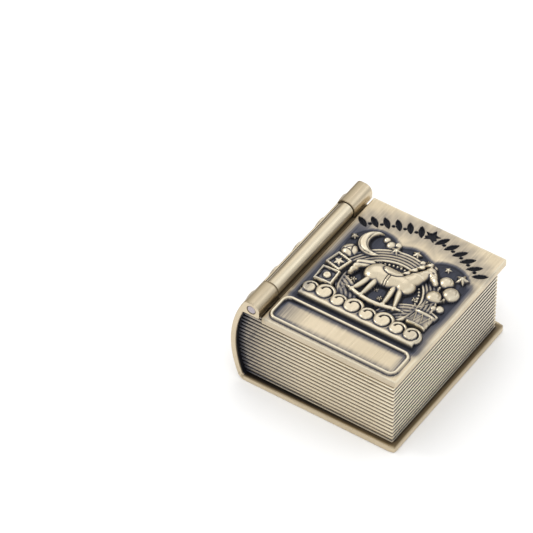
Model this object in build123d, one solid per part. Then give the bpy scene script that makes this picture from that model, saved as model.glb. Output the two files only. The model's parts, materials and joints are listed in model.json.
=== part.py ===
from build123d import *
from math import acos, asin, cos, degrees, hypot, radians, sin
import os

os.makedirs("parts", exist_ok=True)

# A cast keepsake box in the form of a small closed book, lying on its back cover.
# Millimetres, +Z up. +Y runs along the spine, +X points from the spine to the fore edge.
# The origin is on the surface the box stands on, midway along X and Y.

# Back cover and spine
book_length = 44.0
cover_width = 41.75          # spine's outermost line to the fore edge
cover_thickness = 1.53
cover_corner = 1.0           # plan radius of the two fore-edge corners
cover_edge = 0.25            # broken edge of the plate, the spine and the knuckles
spine_mid_share = 0.444      # height of the spine's outermost line, as a share of the whole height
spine_bulge = 3.74           # from the outermost line in to the spine's edge at the knuckles' tops
spine_wall = 1.25
spine_foot = 1.8             # rounding where the spine turns under
spine_seat = 0.8             # rounding inside, between spine and back cover
lip_rise = 0.7               # the spine's edge behind the lid's tube stands this far above the pin
lip_edge = 0.2

# Raised bands across the spine
band_count = 5
band_width = 2.4
band_height = 0.35
band_flank = 0.55            # sloping part of a band's width on each side
band_foot = 2.6              # height where each band starts
band_crest_drop = 0.5        # a band ends this far below the spine's edge

# Hinge
pin_diameter = 2.0
pin_inset = 1.61             # pin centre from the spine's edge at the knuckles' tops
pin_rise = 0.97              # pin centre above the lid's top
pin_chamfer = 0.12
pin_setback = 0.05           # pin's ends below the knuckles' end faces
knuckle_radius = 1.95
knuckle_length = 7.4
knuckle_clearance = 0.78     # knuckles' level underside above the page block
knuckle_shoulder = 1.1       # rounding of the knuckles' upper spine side
bore_countersink = 0.18
tube_radius = 1.9
tube_side_gap = 0.15         # between the tube's ends and the knuckles
tube_edge = 0.18
pin_running_gap = 0.05       # radial, in the lid's tube
tube_cradle_gap = 0.16       # radial, between the tube and the spine's lip

# Page block
block_overhang = 1.44        # the covers stand out past the pages by this
block_height = 18.64
block_corner = 1.2
block_wall = 2.0
block_core_wall = 1.6        # walls round the core under the spine side
cavity_corner = 1.6
foot_groove_height = 0.42
page_count = 17
page_groove_depth = 0.38
page_groove_mouth = 0.62
page_groove_floor = 0.24
overrun = 1.0                # how far cutting shapes run past what they cut

# Front cover
lid_thickness = 1.56
lid_setback = 0.16           # lid's edges inside the back cover's edges
lid_knuckle_gap = 0.45       # between the knuckles and the lid's spine-side edge
lid_rest = 0.6               # the lid's spine-side edge lies this far over the block's spine wall
lid_corner = 1.0
lid_inner_corner = 0.6
lid_edge = 0.3
web_drop = 0.5               # the web to the tube lies this far below the lid's top
web_inset = 0.3              # web's inner edge, from the pin's centre towards the fore edge

# Nameplate border on the front cover
plate_side_margin = 0.92     # mean of the lid's margins beside the border
plate_height = 7.8
plate_corner = 2.0
plate_ridge = 0.85
plate_ridge_rise = 0.55
plate_ridge_edge = 0.27
plate_margin = 1.1           # from the book's tail edge to the border
plate_shift = -0.3           # border's middle from the lid's middle, towards the fore edge

# Garland sunk in the front cover, on an arc above the ornament
garland_radius = 27.0
garland_head_margin = 1.45   # from the leaf tips on the middle line to the book's head edge
garland_side_margin = 1.98   # from the last leaves' middles to the lid's edges
garland_leaves_a_side = 6
garland_leaf_length = 3.7
garland_leaf_width = 1.35
garland_leaf_lean = 24.0     # degrees
garland_berry = 0.42
garland_berry_drop = 1.25
garland_star = 2.0
garland_depth = 0.4

# Cast ornament on the front cover
ornament_side_margin = 1.92  # from the lid's edges
ornament_gap = 1.2           # from the nameplate border to the ornament's foot
ornament_head_margin = 8.5   # from the book's head edge
ornament_aspect = 1.18       # width over height that the figures' radii are drawn for
ornament_field = 0.3         # thin ground that joins the figures
ornament_low = 1.0
ornament_mid = 1.6
ornament_high = 2.1

# Velvet lining
lining_thickness = 0.6
lining_gap = 0.05
lining_rim_drop = 1.2        # top of the wall lining below the page block's top
floor_pad_thickness = 1.2
floor_pad_edge = 0.5
lid_pad_thickness = 0.8
lid_pad_gap = 0.45           # between the lid's pad and the line of the wall lining
lid_pad_edge = 0.3

overall_width = cover_width + band_height
fore_x = overall_width / 2
spine_x = fore_x - cover_width
half_length = book_length / 2
band_pitch = book_length / band_count
pin_x = spine_x + spine_bulge + pin_inset
pin_radius = pin_diameter / 2
block_top = cover_thickness + block_height
lid_top = block_top + lid_thickness
pin_height = lid_top + pin_rise
knuckle_top = pin_height + knuckle_radius
knuckle_underside = block_top + knuckle_clearance
spine_mid = spine_mid_share * knuckle_top
spine_radius = ((knuckle_top - spine_mid) ** 2 + spine_bulge ** 2) / (2 * spine_bulge)
spine_centre_x = spine_x + spine_radius
lip_top = pin_height + lip_rise
tube_half = half_length - knuckle_length - tube_side_gap
lid_fore_x = fore_x - lid_setback
lid_spine_x = pin_x + knuckle_radius + lid_knuckle_gap
lid_half = half_length - lid_setback
lid_mid_x = (lid_spine_x + lid_fore_x) / 2
lid_width = lid_fore_x - lid_spine_x
plate_length = lid_width - 2 * plate_side_margin
garland_centre = book_length - garland_head_margin - garland_leaf_length / 2 - garland_radius
garland_reach = degrees(asin((lid_width / 2 - garland_side_margin) / garland_radius))
garland_step = garland_reach / garland_leaves_a_side
ornament_width = lid_width - 2 * ornament_side_margin
ornament_tail = plate_margin + plate_height + ornament_gap
ornament_height = book_length - ornament_tail - ornament_head_margin
ornament_size = min(ornament_width, ornament_aspect * ornament_height)
block_fore_x = fore_x - block_overhang
block_half = half_length - block_overhang
cavity_fore_x = block_fore_x - block_wall
cavity_spine_x = lid_spine_x + lid_rest
cavity_half = block_half - block_wall
cavity_mid_x = (cavity_fore_x + cavity_spine_x) / 2
cavity_width = cavity_fore_x - cavity_spine_x
page_pitch = (block_top - cover_thickness - foot_groove_height) / page_count
floor_pad_top = cover_thickness + floor_pad_thickness

# Figures of the ornament: moon and stars over a rocking horse, blocks, drum and balloons on a cloud bank.
# Across as shares of the ornament's width from its middle, up as shares of its height from its foot,
# radii and sides as shares of its size.
cloud_shares = [
    (-0.425, 0.100, 0.075), (-0.310, 0.120, 0.090), (-0.185, 0.095, 0.078), (-0.070, 0.110, 0.090),
    (0.055, 0.095, 0.080), (0.180, 0.115, 0.092), (0.305, 0.100, 0.080), (0.420, 0.105, 0.080),
]
bank_share = (0.960, 0.110)
body_shares = [
    (-0.105, 0.560, 0.098, 0.105, 0.565, 0.088),
    (0.120, 0.600, 0.075, 0.205, 0.790, 0.050),
    (0.205, 0.800, 0.050, 0.290, 0.715, 0.031),
]
leg_shares = [
    (0.110, 0.510, 0.034, 0.175, 0.275, 0.019), (0.070, 0.500, 0.034, 0.085, 0.265, 0.019),
    (-0.120, 0.510, 0.038, -0.180, 0.280, 0.019), (-0.080, 0.500, 0.034, -0.095, 0.262, 0.019),
    (-0.185, 0.610, 0.036, -0.262, 0.560, 0.041), (-0.262, 0.560, 0.040, -0.280, 0.440, 0.024),
]
mane_shares = [
    (0.165, 0.850, 0.032), (0.125, 0.795, 0.034), (0.095, 0.735, 0.036), (0.068, 0.670, 0.036),
    (0.045, 0.605, 0.032),
]
rocker_foot_share = (0.000, 0.223)
rocker_radius_share = 0.565
rocker_thickness_share = 0.038
rocker_rise_share = 0.066
toy_block_shares = [(-0.390, 0.290, 0.155, 4.0), (-0.395, 0.478, 0.145, -13.0)]
ball_share = (-0.400, 0.660, 0.070)
drum_share = (0.385, 0.300, 0.165, 0.185)
balloon_shares = [(0.345, 0.585, 0.066), (0.430, 0.690, 0.068), (0.345, 0.780, 0.062)]
moon_share = (-0.285, 0.830, 0.125)
moon_bite_share = (-0.225, 0.865, 0.105)
star_shares = [
    (-0.120, 0.860, 0.060), (0.020, 0.930, 0.045), (0.420, 0.890, 0.058), (-0.455, 0.830, 0.036),
    (0.285, 0.925, 0.032),
]
star_waist_share = 0.46
field_shares = [(0.000, 0.500, 0.380, 0.449), (-0.290, 0.780, 0.185, 0.218), (0.300, 0.760, 0.190, 0.224),
                (-0.360, 0.400, 0.130, 0.154), (0.360, 0.400, 0.130, 0.154), (0.000, 0.780, 0.160, 0.189)]


def along_y(sketch, start, end):
    """Draw an X-Z outline at y = start and run it to y = end."""
    return extrude(Plane.XZ.offset(-start) * sketch, amount=start - end)


def span(low, high, bottom, top):
    """A rectangle given by its limits."""
    return Pos((low + high) / 2, (bottom + top) / 2) * Rectangle(high - low, top - bottom)


def disc(x, y, radius):
    return Pos(x, y) * Circle(radius)


def tapered_limb(x0, y0, r0, x1, y1, r1):
    """Two discs and the four-sided figure between their common tangents."""
    opening = degrees(acos((r0 - r1) / hypot(x1 - x0, y1 - y0)))
    first, last = Vector(x0, y0), Vector(x1, y1)
    heading = (last - first).normalized()
    left, right = heading.rotate(Axis.Z, opening), heading.rotate(Axis.Z, -opening)
    corners = [first + left * r0, last + left * r1, last + right * r1, first + right * r0]
    return disc(x0, y0, r0) + disc(x1, y1, r1) + make_face(Polyline(*corners, close=True))


def star(x, y, radius):
    """Five points, one upwards."""
    corners = []
    for k in range(10):
        reach = radius * (star_waist_share if k % 2 else 1)
        turn = radians(90 + 36 * k)
        corners.append((x + reach * cos(turn), y + reach * sin(turn)))
    return make_face(Polyline(*corners, close=True))


def leaf(length, width):
    """Two equal arcs that meet in points, along Y."""
    tip = length / 2
    arcs = [ThreePointArc((0, -tip), (side * width / 2, 0), (0, tip)) for side in (-1, 1)]
    return make_face(arcs)


def spine_circle(radius):
    return disc(spine_centre_x, spine_mid, radius)


def spine_line(radius, z):
    """Where a circle about the spine's centre crosses a height, on the spine side."""
    return spine_centre_x - (radius ** 2 - (z - spine_mid) ** 2) ** (1 / 2)


def behind_spine(radius, high, bottom, top):
    """All that lies inside the spine's circle, carried on straight to a limit beyond its centre."""
    curved = spine_circle(radius) & span(spine_centre_x - radius, spine_centre_x, bottom, top)
    return curved + span(spine_centre_x, high, bottom, top)


def round_corner(sketch, x, y, radius):
    """Round the corner of an outline that lies nearest to a point."""
    nearest = min(sketch.vertices(), key=lambda v: hypot(v.X - x, v.Y - y))
    return fillet(nearest, radius=radius)


def inside_outline():
    """The space between spine, back cover and lid, seen from the tail."""
    radius = spine_radius - spine_wall
    space = behind_spine(radius, fore_x + overrun, cover_thickness, knuckle_top + overrun)
    return round_corner(space, spine_line(radius, cover_thickness), cover_thickness, spine_seat)


def cover_outline(top, shoulder):
    """The book's outline up to a height, with its foot and its upper spine side rounded."""
    whole = behind_spine(spine_radius, fore_x, 0, top)
    whole = round_corner(whole, spine_line(spine_radius, 0), 0, spine_foot)
    return round_corner(whole, spine_line(spine_radius, top), top, shoulder)


def knuckle_outline():
    """Filled out to the spine and cut level below, with a round upper fore side about the pin."""
    fore = pin_x + knuckle_radius
    to_spine = span(spine_x, pin_x, knuckle_underside, knuckle_top)
    heel = span(pin_x, fore, knuckle_underside, pin_height)
    crown = disc(pin_x, pin_height, knuckle_radius) & span(pin_x, fore, pin_height, knuckle_top)
    return to_spine + heel + crown


def hinge_cylinder(radius, start, end):
    return along_y(disc(pin_x, pin_height, radius), start, end)


def spine_band(y):
    """A raised band with sloping flanks, carried round the spine's circle."""
    side, root, crown = band_width / 2, spine_x + band_height, spine_x - band_height
    outline = Polyline((root, y - side), (spine_x, y - side), (crown, y - side + band_flank),
                       (crown, y + side - band_flank), (spine_x, y + side), (root, y + side), close=True)
    low = degrees(asin((band_foot - spine_mid) / spine_radius))
    high = degrees(asin((lip_top - band_crest_drop - spine_mid) / spine_radius))
    middle = Axis((spine_centre_x, 0, spine_mid), (0, 1, 0))
    section = (Pos(0, 0, spine_mid) * make_face(outline)).rotate(middle, low)
    return revolve(section, axis=middle, revolution_arc=high - low)


def is_outer_edge(edge):
    """Edges of the two end faces and of the fore edge, without the corners' upright lines."""
    at = edge.center()
    at_end = abs(at.Y) > half_length - cover_corner / 2
    at_fore = at.X > fore_x - cover_corner / 2
    upright = edge.geom_type == GeomType.LINE and abs(edge.tangent_at(0).Z) > 1 / 2
    return (at_end or at_fore) and not (upright and at.X > fore_x - 2 * cover_corner)


def make_back_cover():
    """Back cover, curved spine with its bands, and the two end knuckles: one casting."""
    void = inside_outline()
    middle = cover_outline(lip_top, lip_edge) - void
    beyond_pin = span(pin_x, fore_x + overrun, pin_height, knuckle_top + overrun)
    end = cover_outline(knuckle_top, knuckle_shoulder) - (void + beyond_pin - knuckle_outline())
    knuckle_start = half_length - knuckle_length
    body = along_y(middle, -knuckle_start, knuckle_start)
    body += along_y(end, -half_length, -knuckle_start)
    body += along_y(end, knuckle_start, half_length)
    upright = [e for e in body.edges().filter_by(Axis.Z) if e.center().X > fore_x - cover_corner]
    body = fillet(upright, cover_corner)
    body = chamfer([e for e in body.edges() if is_outer_edge(e)], cover_edge)
    for k in range(band_count):
        body += spine_band((k - (band_count - 1) / 2) * band_pitch)
    body -= hinge_cylinder(tube_radius + tube_cradle_gap, -knuckle_start, knuckle_start)
    body -= hinge_cylinder(pin_radius, -half_length, half_length)
    for side in (-1, 1):
        mouth = Rot(-90 * side, 0, 0) * Cone(pin_radius, pin_radius + bore_countersink, bore_countersink)
        body -= Pos(pin_x, side * (half_length - bore_countersink / 2), pin_height) * mouth
    return body


def make_hinge_pin():
    """One steel pin, pressed in both end knuckles."""
    pin = hinge_cylinder(pin_radius, -half_length + pin_setback, half_length - pin_setback)
    return chamfer(pin.edges().filter_by(GeomType.CIRCLE), pin_chamfer)


def page_groove(outline_z, mouth, floor):
    """One groove of the page edges, carried along three sides with rounded corners."""
    start = (spine_x, -block_half)
    path = FilletPolyline(start, (block_fore_x, -block_half), (block_fore_x, block_half),
                          (spine_x, block_half), radius=block_corner)
    across = Plane(origin=(*start, 0), x_dir=(0, -1, 0), z_dir=(1, 0, 0))
    section = make_face(Polyline((overrun, mouth / 2), (0, mouth / 2), (-page_groove_depth, floor / 2),
                                 (-page_groove_depth, -floor / 2), (0, -mouth / 2), (overrun, -mouth / 2),
                                 close=True))
    return Pos(0, 0, outline_z) * sweep(across * section, path=path)


def make_page_block():
    """Walls of the box, grooved like the edges of pages on the three sides that show."""
    plan = span(spine_x, block_fore_x, -block_half, block_half)
    for side in (-1, 1):
        plan = round_corner(plan, block_fore_x, side * block_half, block_corner)
    body = Pos(0, 0, cover_thickness) * extrude(plan, amount=block_top - cover_thickness)
    body &= along_y(inside_outline(), -half_length, half_length)
    first = cover_thickness + foot_groove_height
    grooves = [page_groove(first + k * page_pitch, page_groove_mouth, page_groove_floor)
               for k in range(page_count + 1)]
    grooves.append(page_groove(cover_thickness, 2 * foot_groove_height, 2 * foot_groove_height))
    for groove in grooves:
        body -= groove
    cavity = RectangleRounded(cavity_width, 2 * cavity_half, cavity_corner)
    body -= Pos(cavity_mid_x, 0, 0) * extrude(cavity, amount=block_top + overrun)
    core_top = block_top - block_core_wall
    core_spine_x = spine_line(spine_radius - spine_wall, core_top) + block_core_wall
    core = span(core_spine_x, cavity_spine_x - block_core_wall, -cavity_half, cavity_half)
    body -= extrude(core, amount=core_top)
    return body


def plate_border():
    """A rounded ridge round the bare nameplate."""
    ring = RectangleRounded(plate_length, plate_height, plate_corner)
    ring -= RectangleRounded(plate_length - 2 * plate_ridge, plate_height - 2 * plate_ridge,
                             plate_corner - plate_ridge)
    ridge = extrude(ring, amount=plate_ridge_rise)
    ridge = chamfer(ridge.faces().sort_by(Axis.Z)[-1].edges(), plate_ridge_edge)
    return Pos(lid_mid_x + plate_shift, plate_margin + plate_height / 2 - half_length, lid_top) * ridge


def garland():
    """Leaves and berries to both sides of a star, on an arc, as one flat outline."""
    spacing = garland_radius * radians(garland_step) * cos(radians(garland_leaf_lean))
    shape = star(0, garland_radius, garland_star)
    for side in (-1, 1):
        sprig = leaf(garland_leaf_length, garland_leaf_width)
        sprig += Pos(-side * spacing / 2, -garland_berry_drop) * RegularPolygon(garland_berry, 6)
        sprig = Rot(0, 0, -side * garland_leaf_lean) * sprig
        for k in range(1, garland_leaves_a_side + 1):
            shape += Rot(0, 0, -side * k * garland_step) * Pos(0, garland_radius) * sprig
    return Pos(lid_mid_x, garland_centre - half_length) * shape


def make_front_cover():
    """The lid: plate, tube on the pin and the web between, border and sunk garland."""
    plan = span(lid_spine_x, lid_fore_x, -lid_half, lid_half)
    for side in (-1, 1):
        plan = round_corner(plan, lid_fore_x, side * lid_half, lid_corner)
        plan = round_corner(plan, lid_spine_x, side * lid_half, lid_inner_corner)
    body = Pos(0, 0, block_top) * extrude(plan, amount=lid_thickness)
    body = chamfer(body.faces().sort_by(Axis.Z)[-1].edges(), lid_edge)
    tube = hinge_cylinder(tube_radius, -tube_half, tube_half)
    tube = chamfer(tube.edges().filter_by(GeomType.CIRCLE), tube_edge)
    web = span(pin_x + web_inset, lid_spine_x + lid_edge, block_top, lid_top - web_drop)
    body += along_y(web, -tube_half, tube_half)
    body += tube
    body -= hinge_cylinder(pin_radius + pin_running_gap, -half_length, half_length)
    body += plate_border()
    body -= Pos(0, 0, lid_top - garland_depth) * extrude(garland(), amount=garland_depth + overrun)
    return body


def on_ornament(x_share, y_share):
    """A point of the ornament, from its shares."""
    return lid_mid_x + x_share * ornament_width, ornament_tail - half_length + y_share * ornament_height


def ornament_disc(x_share, y_share, r_share):
    return disc(*on_ornament(x_share, y_share), r_share * ornament_size)


def ornament_oval(x_share, y_share, across_share, up_share):
    """Half its width as a share of the ornament's width, half its height as one of the height."""
    oval = Ellipse(across_share * ornament_width, up_share * ornament_height)
    return Pos(*on_ornament(x_share, y_share)) * oval


def ornament_limb(x0, y0, r0, x1, y1, r1):
    return tapered_limb(*on_ornament(x0, y0), r0 * ornament_size,
                        *on_ornament(x1, y1), r1 * ornament_size)


def ornament_bank():
    """The straight foot that the clouds grow from."""
    width, top = bank_share
    left, foot = on_ornament(-width / 2, 0)
    right, head = on_ornament(width / 2, top)
    return span(left, right, foot, head)


def rocker():
    """A curved runner: the lowest part of a ring, cut level."""
    x, foot = on_ornament(*rocker_foot_share)
    radius = rocker_radius_share * ornament_width
    thickness = rocker_thickness_share * ornament_size
    ring = disc(x, foot + radius, radius) - disc(x, foot + radius, radius - thickness)
    return ring & span(x - radius, x + radius, foot, foot + rocker_rise_share * ornament_size)


def toy_block(x, y, side, turn):
    return Pos(*on_ornament(x, y)) * Rot(0, 0, turn) * Rectangle(side * ornament_size, side * ornament_size)


def moon():
    return ornament_disc(*moon_share) - ornament_disc(*moon_bite_share)


def drum():
    x, y, width, height = drum_share
    return Pos(*on_ornament(x, y)) * Rectangle(width * ornament_width, height * ornament_height)


def joined(shapes):
    """One outline from several that overlap."""
    whole = shapes[0]
    for shape in shapes[1:]:
        whole += shape
    return whole


def make_ornament():
    """Thin ground with the figures standing on it at three heights."""
    field = joined([ornament_bank()] + [ornament_oval(*s) for s in field_shares])
    low = joined([rocker()] + [ornament_disc(*s) for s in mane_shares]
                 + [ornament_limb(*s) for s in leg_shares]
                 + [star(*on_ornament(x, y), r * ornament_size) for x, y, r in star_shares])
    mid = joined([ornament_bank()] + [ornament_disc(*s) for s in cloud_shares + balloon_shares]
                 + [ornament_disc(*ball_share), moon(), drum()]
                 + [toy_block(*s) for s in toy_block_shares])
    high = joined([ornament_limb(*s) for s in body_shares])
    body = extrude(field, amount=ornament_field)
    for outline, height in ((low, ornament_low), (mid, ornament_mid), (high, ornament_high)):
        body += extrude(outline, amount=height)
    return Pos(0, 0, lid_top) * body


def make_floor_pad():
    """Velvet pad on the box's floor."""
    plan = RectangleRounded(cavity_width - 2 * lining_gap, 2 * (cavity_half - lining_gap),
                            cavity_corner - lining_gap)
    pad = extrude(plan, amount=floor_pad_thickness)
    pad = chamfer(pad.faces().sort_by(Axis.Z)[-1].edges(), floor_pad_edge)
    return Pos(cavity_mid_x, 0, cover_thickness) * pad


def make_wall_lining():
    """Velvet strip round the cavity's walls, standing on the floor pad's edge."""
    inset = lining_gap + lining_thickness
    ring = RectangleRounded(cavity_width - 2 * lining_gap, 2 * (cavity_half - lining_gap),
                            cavity_corner - lining_gap)
    ring -= RectangleRounded(cavity_width - 2 * inset, 2 * (cavity_half - inset), cavity_corner - inset)
    height = block_top - lining_rim_drop - floor_pad_top
    return Pos(cavity_mid_x, 0, floor_pad_top) * extrude(ring, amount=height)


def make_lid_pad():
    """Velvet pad under the lid, clear of the cavity's walls as the lid swings."""
    inset = lining_gap + lining_thickness + lid_pad_gap
    plan = RectangleRounded(cavity_width - 2 * inset, 2 * (cavity_half - inset), cavity_corner)
    pad = extrude(plan, amount=-lid_pad_thickness)
    pad = chamfer(pad.faces().sort_by(Axis.Z)[0].edges(), lid_pad_edge)
    return Pos(cavity_mid_x, 0, block_top) * pad


pieces = {
    "back_cover": make_back_cover(),
    "hinge_pin": make_hinge_pin(),
    "page_block": make_page_block(),
    "front_cover": make_front_cover(),
    "cover_ornament": make_ornament(),
    "floor_pad": make_floor_pad(),
    "wall_lining": make_wall_lining(),
    "lid_pad": make_lid_pad(),
}
for name, piece in pieces.items():
    export_step(piece, f"parts/{name}.step")
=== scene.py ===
# Looks for a small cast keepsake box in the form of a closed book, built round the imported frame.
# Shapes are numpy arrays in millimetres, scaled to metres as each mesh is made.
import json
import math

import bmesh
import bpy
import numpy as np
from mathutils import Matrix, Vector


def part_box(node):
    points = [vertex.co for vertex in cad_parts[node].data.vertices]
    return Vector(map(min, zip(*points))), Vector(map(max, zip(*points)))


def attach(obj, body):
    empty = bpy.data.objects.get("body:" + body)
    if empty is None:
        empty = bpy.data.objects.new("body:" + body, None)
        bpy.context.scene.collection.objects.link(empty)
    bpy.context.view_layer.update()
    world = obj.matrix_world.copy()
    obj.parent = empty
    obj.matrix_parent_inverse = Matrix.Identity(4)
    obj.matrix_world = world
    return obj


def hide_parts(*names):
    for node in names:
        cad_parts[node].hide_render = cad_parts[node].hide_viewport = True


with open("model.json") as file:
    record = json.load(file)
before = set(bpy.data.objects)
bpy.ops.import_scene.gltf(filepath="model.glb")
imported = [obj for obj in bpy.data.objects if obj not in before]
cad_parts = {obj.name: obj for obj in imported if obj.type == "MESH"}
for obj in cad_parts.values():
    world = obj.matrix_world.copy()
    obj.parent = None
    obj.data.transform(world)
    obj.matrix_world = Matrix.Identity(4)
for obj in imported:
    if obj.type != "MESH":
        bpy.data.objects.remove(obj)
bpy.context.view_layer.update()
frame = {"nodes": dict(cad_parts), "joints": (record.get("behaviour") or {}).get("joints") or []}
print("frame loaded:", ", ".join(sorted(frame["nodes"])))

mm = 0.001
weld = {"points": 0.0008, "edges": 0.0004}  # mm: points closer than this become one, shorter edges go


def nodeBox(name):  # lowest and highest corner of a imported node, in millimetres
    low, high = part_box(name)
    return np.array(low) / mm, np.array(high) / mm


coverLow, coverHigh = nodeBox("back_cover")
blockLow, blockHigh = nodeBox("page_block")
lidLow, lidHigh = nodeBox("front_cover")
ornamentLow = nodeBox("cover_ornament")[0]
floorPadLow, floorPadHigh = nodeBox("floor_pad")
liningLow, liningHigh = nodeBox("wall_lining")
lidPadLow, lidPadHigh = nodeBox("lid_pad")
pinX, pinZ = (frame["joints"][0]["pos_m"][axis] / mm for axis in (0, 2))

foreX, halfLength, knuckleTop = coverHigh
plateTop, blockTop = blockLow[2], blockHigh[2]
blockForeX, blockHalf = blockHigh[0], blockHigh[1]
lidForeX, lidHalf, lidTop = lidHigh[0], lidHigh[1], ornamentLow[2]
tubeRadius = pinX - lidLow[0]


def smooth(low, high, value):  # 0 below low, 1 above high, an S-shaped blend between
    t = np.clip((value - low) / (high - low), 0, 1)
    return t * t * (3 - 2 * t)


def fade(low, high, value):  # 1 below low, 0 above high, the same blend between
    return 1 - smooth(low, high, value)


def arc(x, z, radius, start, end, count):  # equal angles on a circle, in degrees; the end point is left out
    a = np.radians(np.linspace(start, end, count, endpoint=False))
    return np.stack([x + radius * np.cos(a), z + radius * np.sin(a)], -1)


def run(start, end, count):  # equal steps on a straight line; the end point is left out
    t = np.linspace(0, 1, count, endpoint=False)[:, None]
    return np.asarray(start) * (1 - t) + np.asarray(end) * t


def aboutPin(radius, y, count):  # rings about the hinge's axis, one for each radius and its Y
    a = np.linspace(0, 2 * math.pi, count, endpoint=False)[None, :]
    radius, y = np.asarray(radius)[:, None], np.asarray(y)[:, None]
    return np.stack(np.broadcast_arrays(pinX + radius * np.cos(a), y, pinZ + radius * np.sin(a)), -1)


def gridFaces(rows, columns, closeRows=False, closeColumns=False):  # four corners of every cell of a grid
    i = np.arange(rows if closeRows else rows - 1)[:, None]
    j = np.arange(columns if closeColumns else columns - 1)[None, :]
    nextRow, nextColumn = (i + 1) % rows, (j + 1) % columns
    corners = [i * columns + j, nextRow * columns + j,
               nextRow * columns + nextColumn, i * columns + nextColumn]
    return np.stack(np.broadcast_arrays(*corners), -1).reshape(-1, 4)


def makeMesh(name, points, faces, lids=()):
    # points are millimetres, faces rows of four corners, lids the loops that close open ends
    mesh = bpy.data.meshes.new(name)
    loops = [faces.ravel()] + [np.asarray(lid) for lid in lids]
    sizes = np.array([4] * len(faces) + [len(lid) for lid in lids])
    corners = np.concatenate(loops).astype(np.int32)
    mesh.vertices.add(len(points))
    mesh.vertices.foreach_set("co", (points * mm).astype(np.float32).ravel())
    mesh.loops.add(len(corners))
    mesh.loops.foreach_set("vertex_index", corners)
    mesh.polygons.add(len(sizes))
    mesh.polygons.foreach_set("loop_start", (np.cumsum(sizes) - sizes).astype(np.int32))
    mesh.update(calc_edges=True)
    mesh.validate()
    return mesh


def tidyMesh(mesh, sharpDegrees=32):  # merges doubles, turns faces outwards, smooths all but sharp edges
    work = bmesh.new()
    work.from_mesh(mesh)
    bmesh.ops.remove_doubles(work, verts=work.verts, dist=weld["points"] * mm)
    bmesh.ops.dissolve_degenerate(work, edges=work.edges, dist=weld["edges"] * mm)
    bmesh.ops.recalc_face_normals(work, faces=work.faces)
    work.to_mesh(mesh)
    work.free()
    mesh.polygons.foreach_set("use_smooth", np.ones(len(mesh.polygons), bool))
    mesh.set_sharp_from_angle(angle=math.radians(sharpDegrees))


def loopMesh(name, points, closed, sharpDegrees=32):
    # every row of points is a loop; closed joins the last to the first, otherwise a lid covers each end
    rows, columns = points.shape[:2]
    lids = [] if closed else [np.arange(columns), (rows - 1) * columns + np.arange(columns)[::-1]]
    mesh = makeMesh(name, points.reshape(-1, 3), gridFaces(rows, columns, closed, True), lids)
    tidyMesh(mesh, sharpDegrees)
    return mesh


def pointsOf(mesh):  # vertex positions in millimetres, one row each
    flat = np.empty(len(mesh.vertices) * 3, np.float32)
    mesh.vertices.foreach_get("co", flat)
    return flat.reshape(-1, 3).astype(float) / mm


def paint(mesh, name, values):  # a number for each vertex, which the material reads
    layer = mesh.attributes.new(name, "FLOAT", "POINT")
    layer.data.foreach_set("value", np.clip(values, 0, 1).astype(np.float32))


def addPiece(name, mesh, body, nodes, material):
    # the mesh as an object that rides on its body, in a material slot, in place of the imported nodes
    piece = bpy.data.objects.new(name, mesh)
    bpy.context.scene.collection.objects.link(piece)
    mesh.materials.append(material)
    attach(piece, body)
    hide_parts(*nodes)
    return piece


# Shapes seen from above, as distances to their edges in millimetres, less than nothing inside


def discAt(x, y, cx, cy, radius):  # from the centre, less the radius
    return np.hypot(x - cx, y - cy) - radius


def limbAt(x, y, x0, y0, r0, x1, y1, r1):  # two discs and the taper between them
    along = ((x - x0) * (x1 - x0) + (y - y0) * (y1 - y0)) / ((x1 - x0) ** 2 + (y1 - y0) ** 2)
    along = np.clip(along, 0, 1)
    return np.hypot(x - x0 - along * (x1 - x0), y - y0 - along * (y1 - y0)) - r0 - along * (r1 - r0)


def turned(x, y, cx, cy, degrees):  # coordinates about a centre, turned anticlockwise
    c, s = math.cos(math.radians(degrees)), math.sin(math.radians(degrees))
    return c * (x - cx) + s * (y - cy), c * (y - cy) - s * (x - cx)


def polar(x, y, cx, cy):  # distance from a centre, and the angle about it
    return np.hypot(x - cx, y - cy), np.arctan2(y - cy, x - cx)


def boxAt(x, y, cx, cy, width, height, degrees=0.0, corner=0.0):
    # a turned rectangle with round corners: how far past a side, or past a corner's centre less its radius
    u, v = turned(x, y, cx, cy, degrees)
    u, v = np.abs(u) - width / 2 + corner, np.abs(v) - height / 2 + corner
    return np.hypot(np.maximum(u, 0), np.maximum(v, 0)) + np.minimum(np.maximum(u, v), 0) - corner


def ovalAt(x, y, cx, cy, a, b):  # near enough: how far past 1 in the oval's own measure, by its smaller half
    return (np.hypot((x - cx) / a, (y - cy) / b) - 1) * min(a, b)


def leafAt(x, y, cx, cy, length, width, degrees):  # where two equal discs overlap
    u, v = turned(x, y, cx, cy, degrees)
    radius = (length ** 2 / 4 + width ** 2 / 4) / width
    return np.hypot(np.abs(u) + radius - width / 2, v) - radius


def starAt(x, y, cx, cy, radius, waist, points=5):
    # folded into half a point's wedge, then the distance to the one edge that is left
    around, reach = np.arctan2(x - cx, y - cy), np.hypot(x - cx, y - cy)
    wedge = math.pi / points
    around = np.abs((around + wedge) % (2 * wedge) - wedge)
    u, v = reach * np.sin(around), reach * np.cos(around)
    inX, inY = radius * waist * math.sin(wedge), radius * waist * math.cos(wedge)
    edgeX, edgeY = inX, inY - radius
    length = math.hypot(edgeX, edgeY)
    return (-(v - radius) * edgeX + u * edgeY) / -length


def dome(distance, height, rounding):  # a flat top with a round shoulder
    t = np.clip(-distance / rounding, 0, 1)
    return np.where(distance < 0, height * np.sqrt(np.maximum(1 - (1 - t) ** 2, 0)), 0)


def ridge(distance, height, width):  # a rounded line that follows an edge
    return height * np.exp(-(distance / (width / 2)) ** 2)


def union(distances):  # the distance to the nearest of several shapes
    return np.minimum.reduce(distances)


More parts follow.
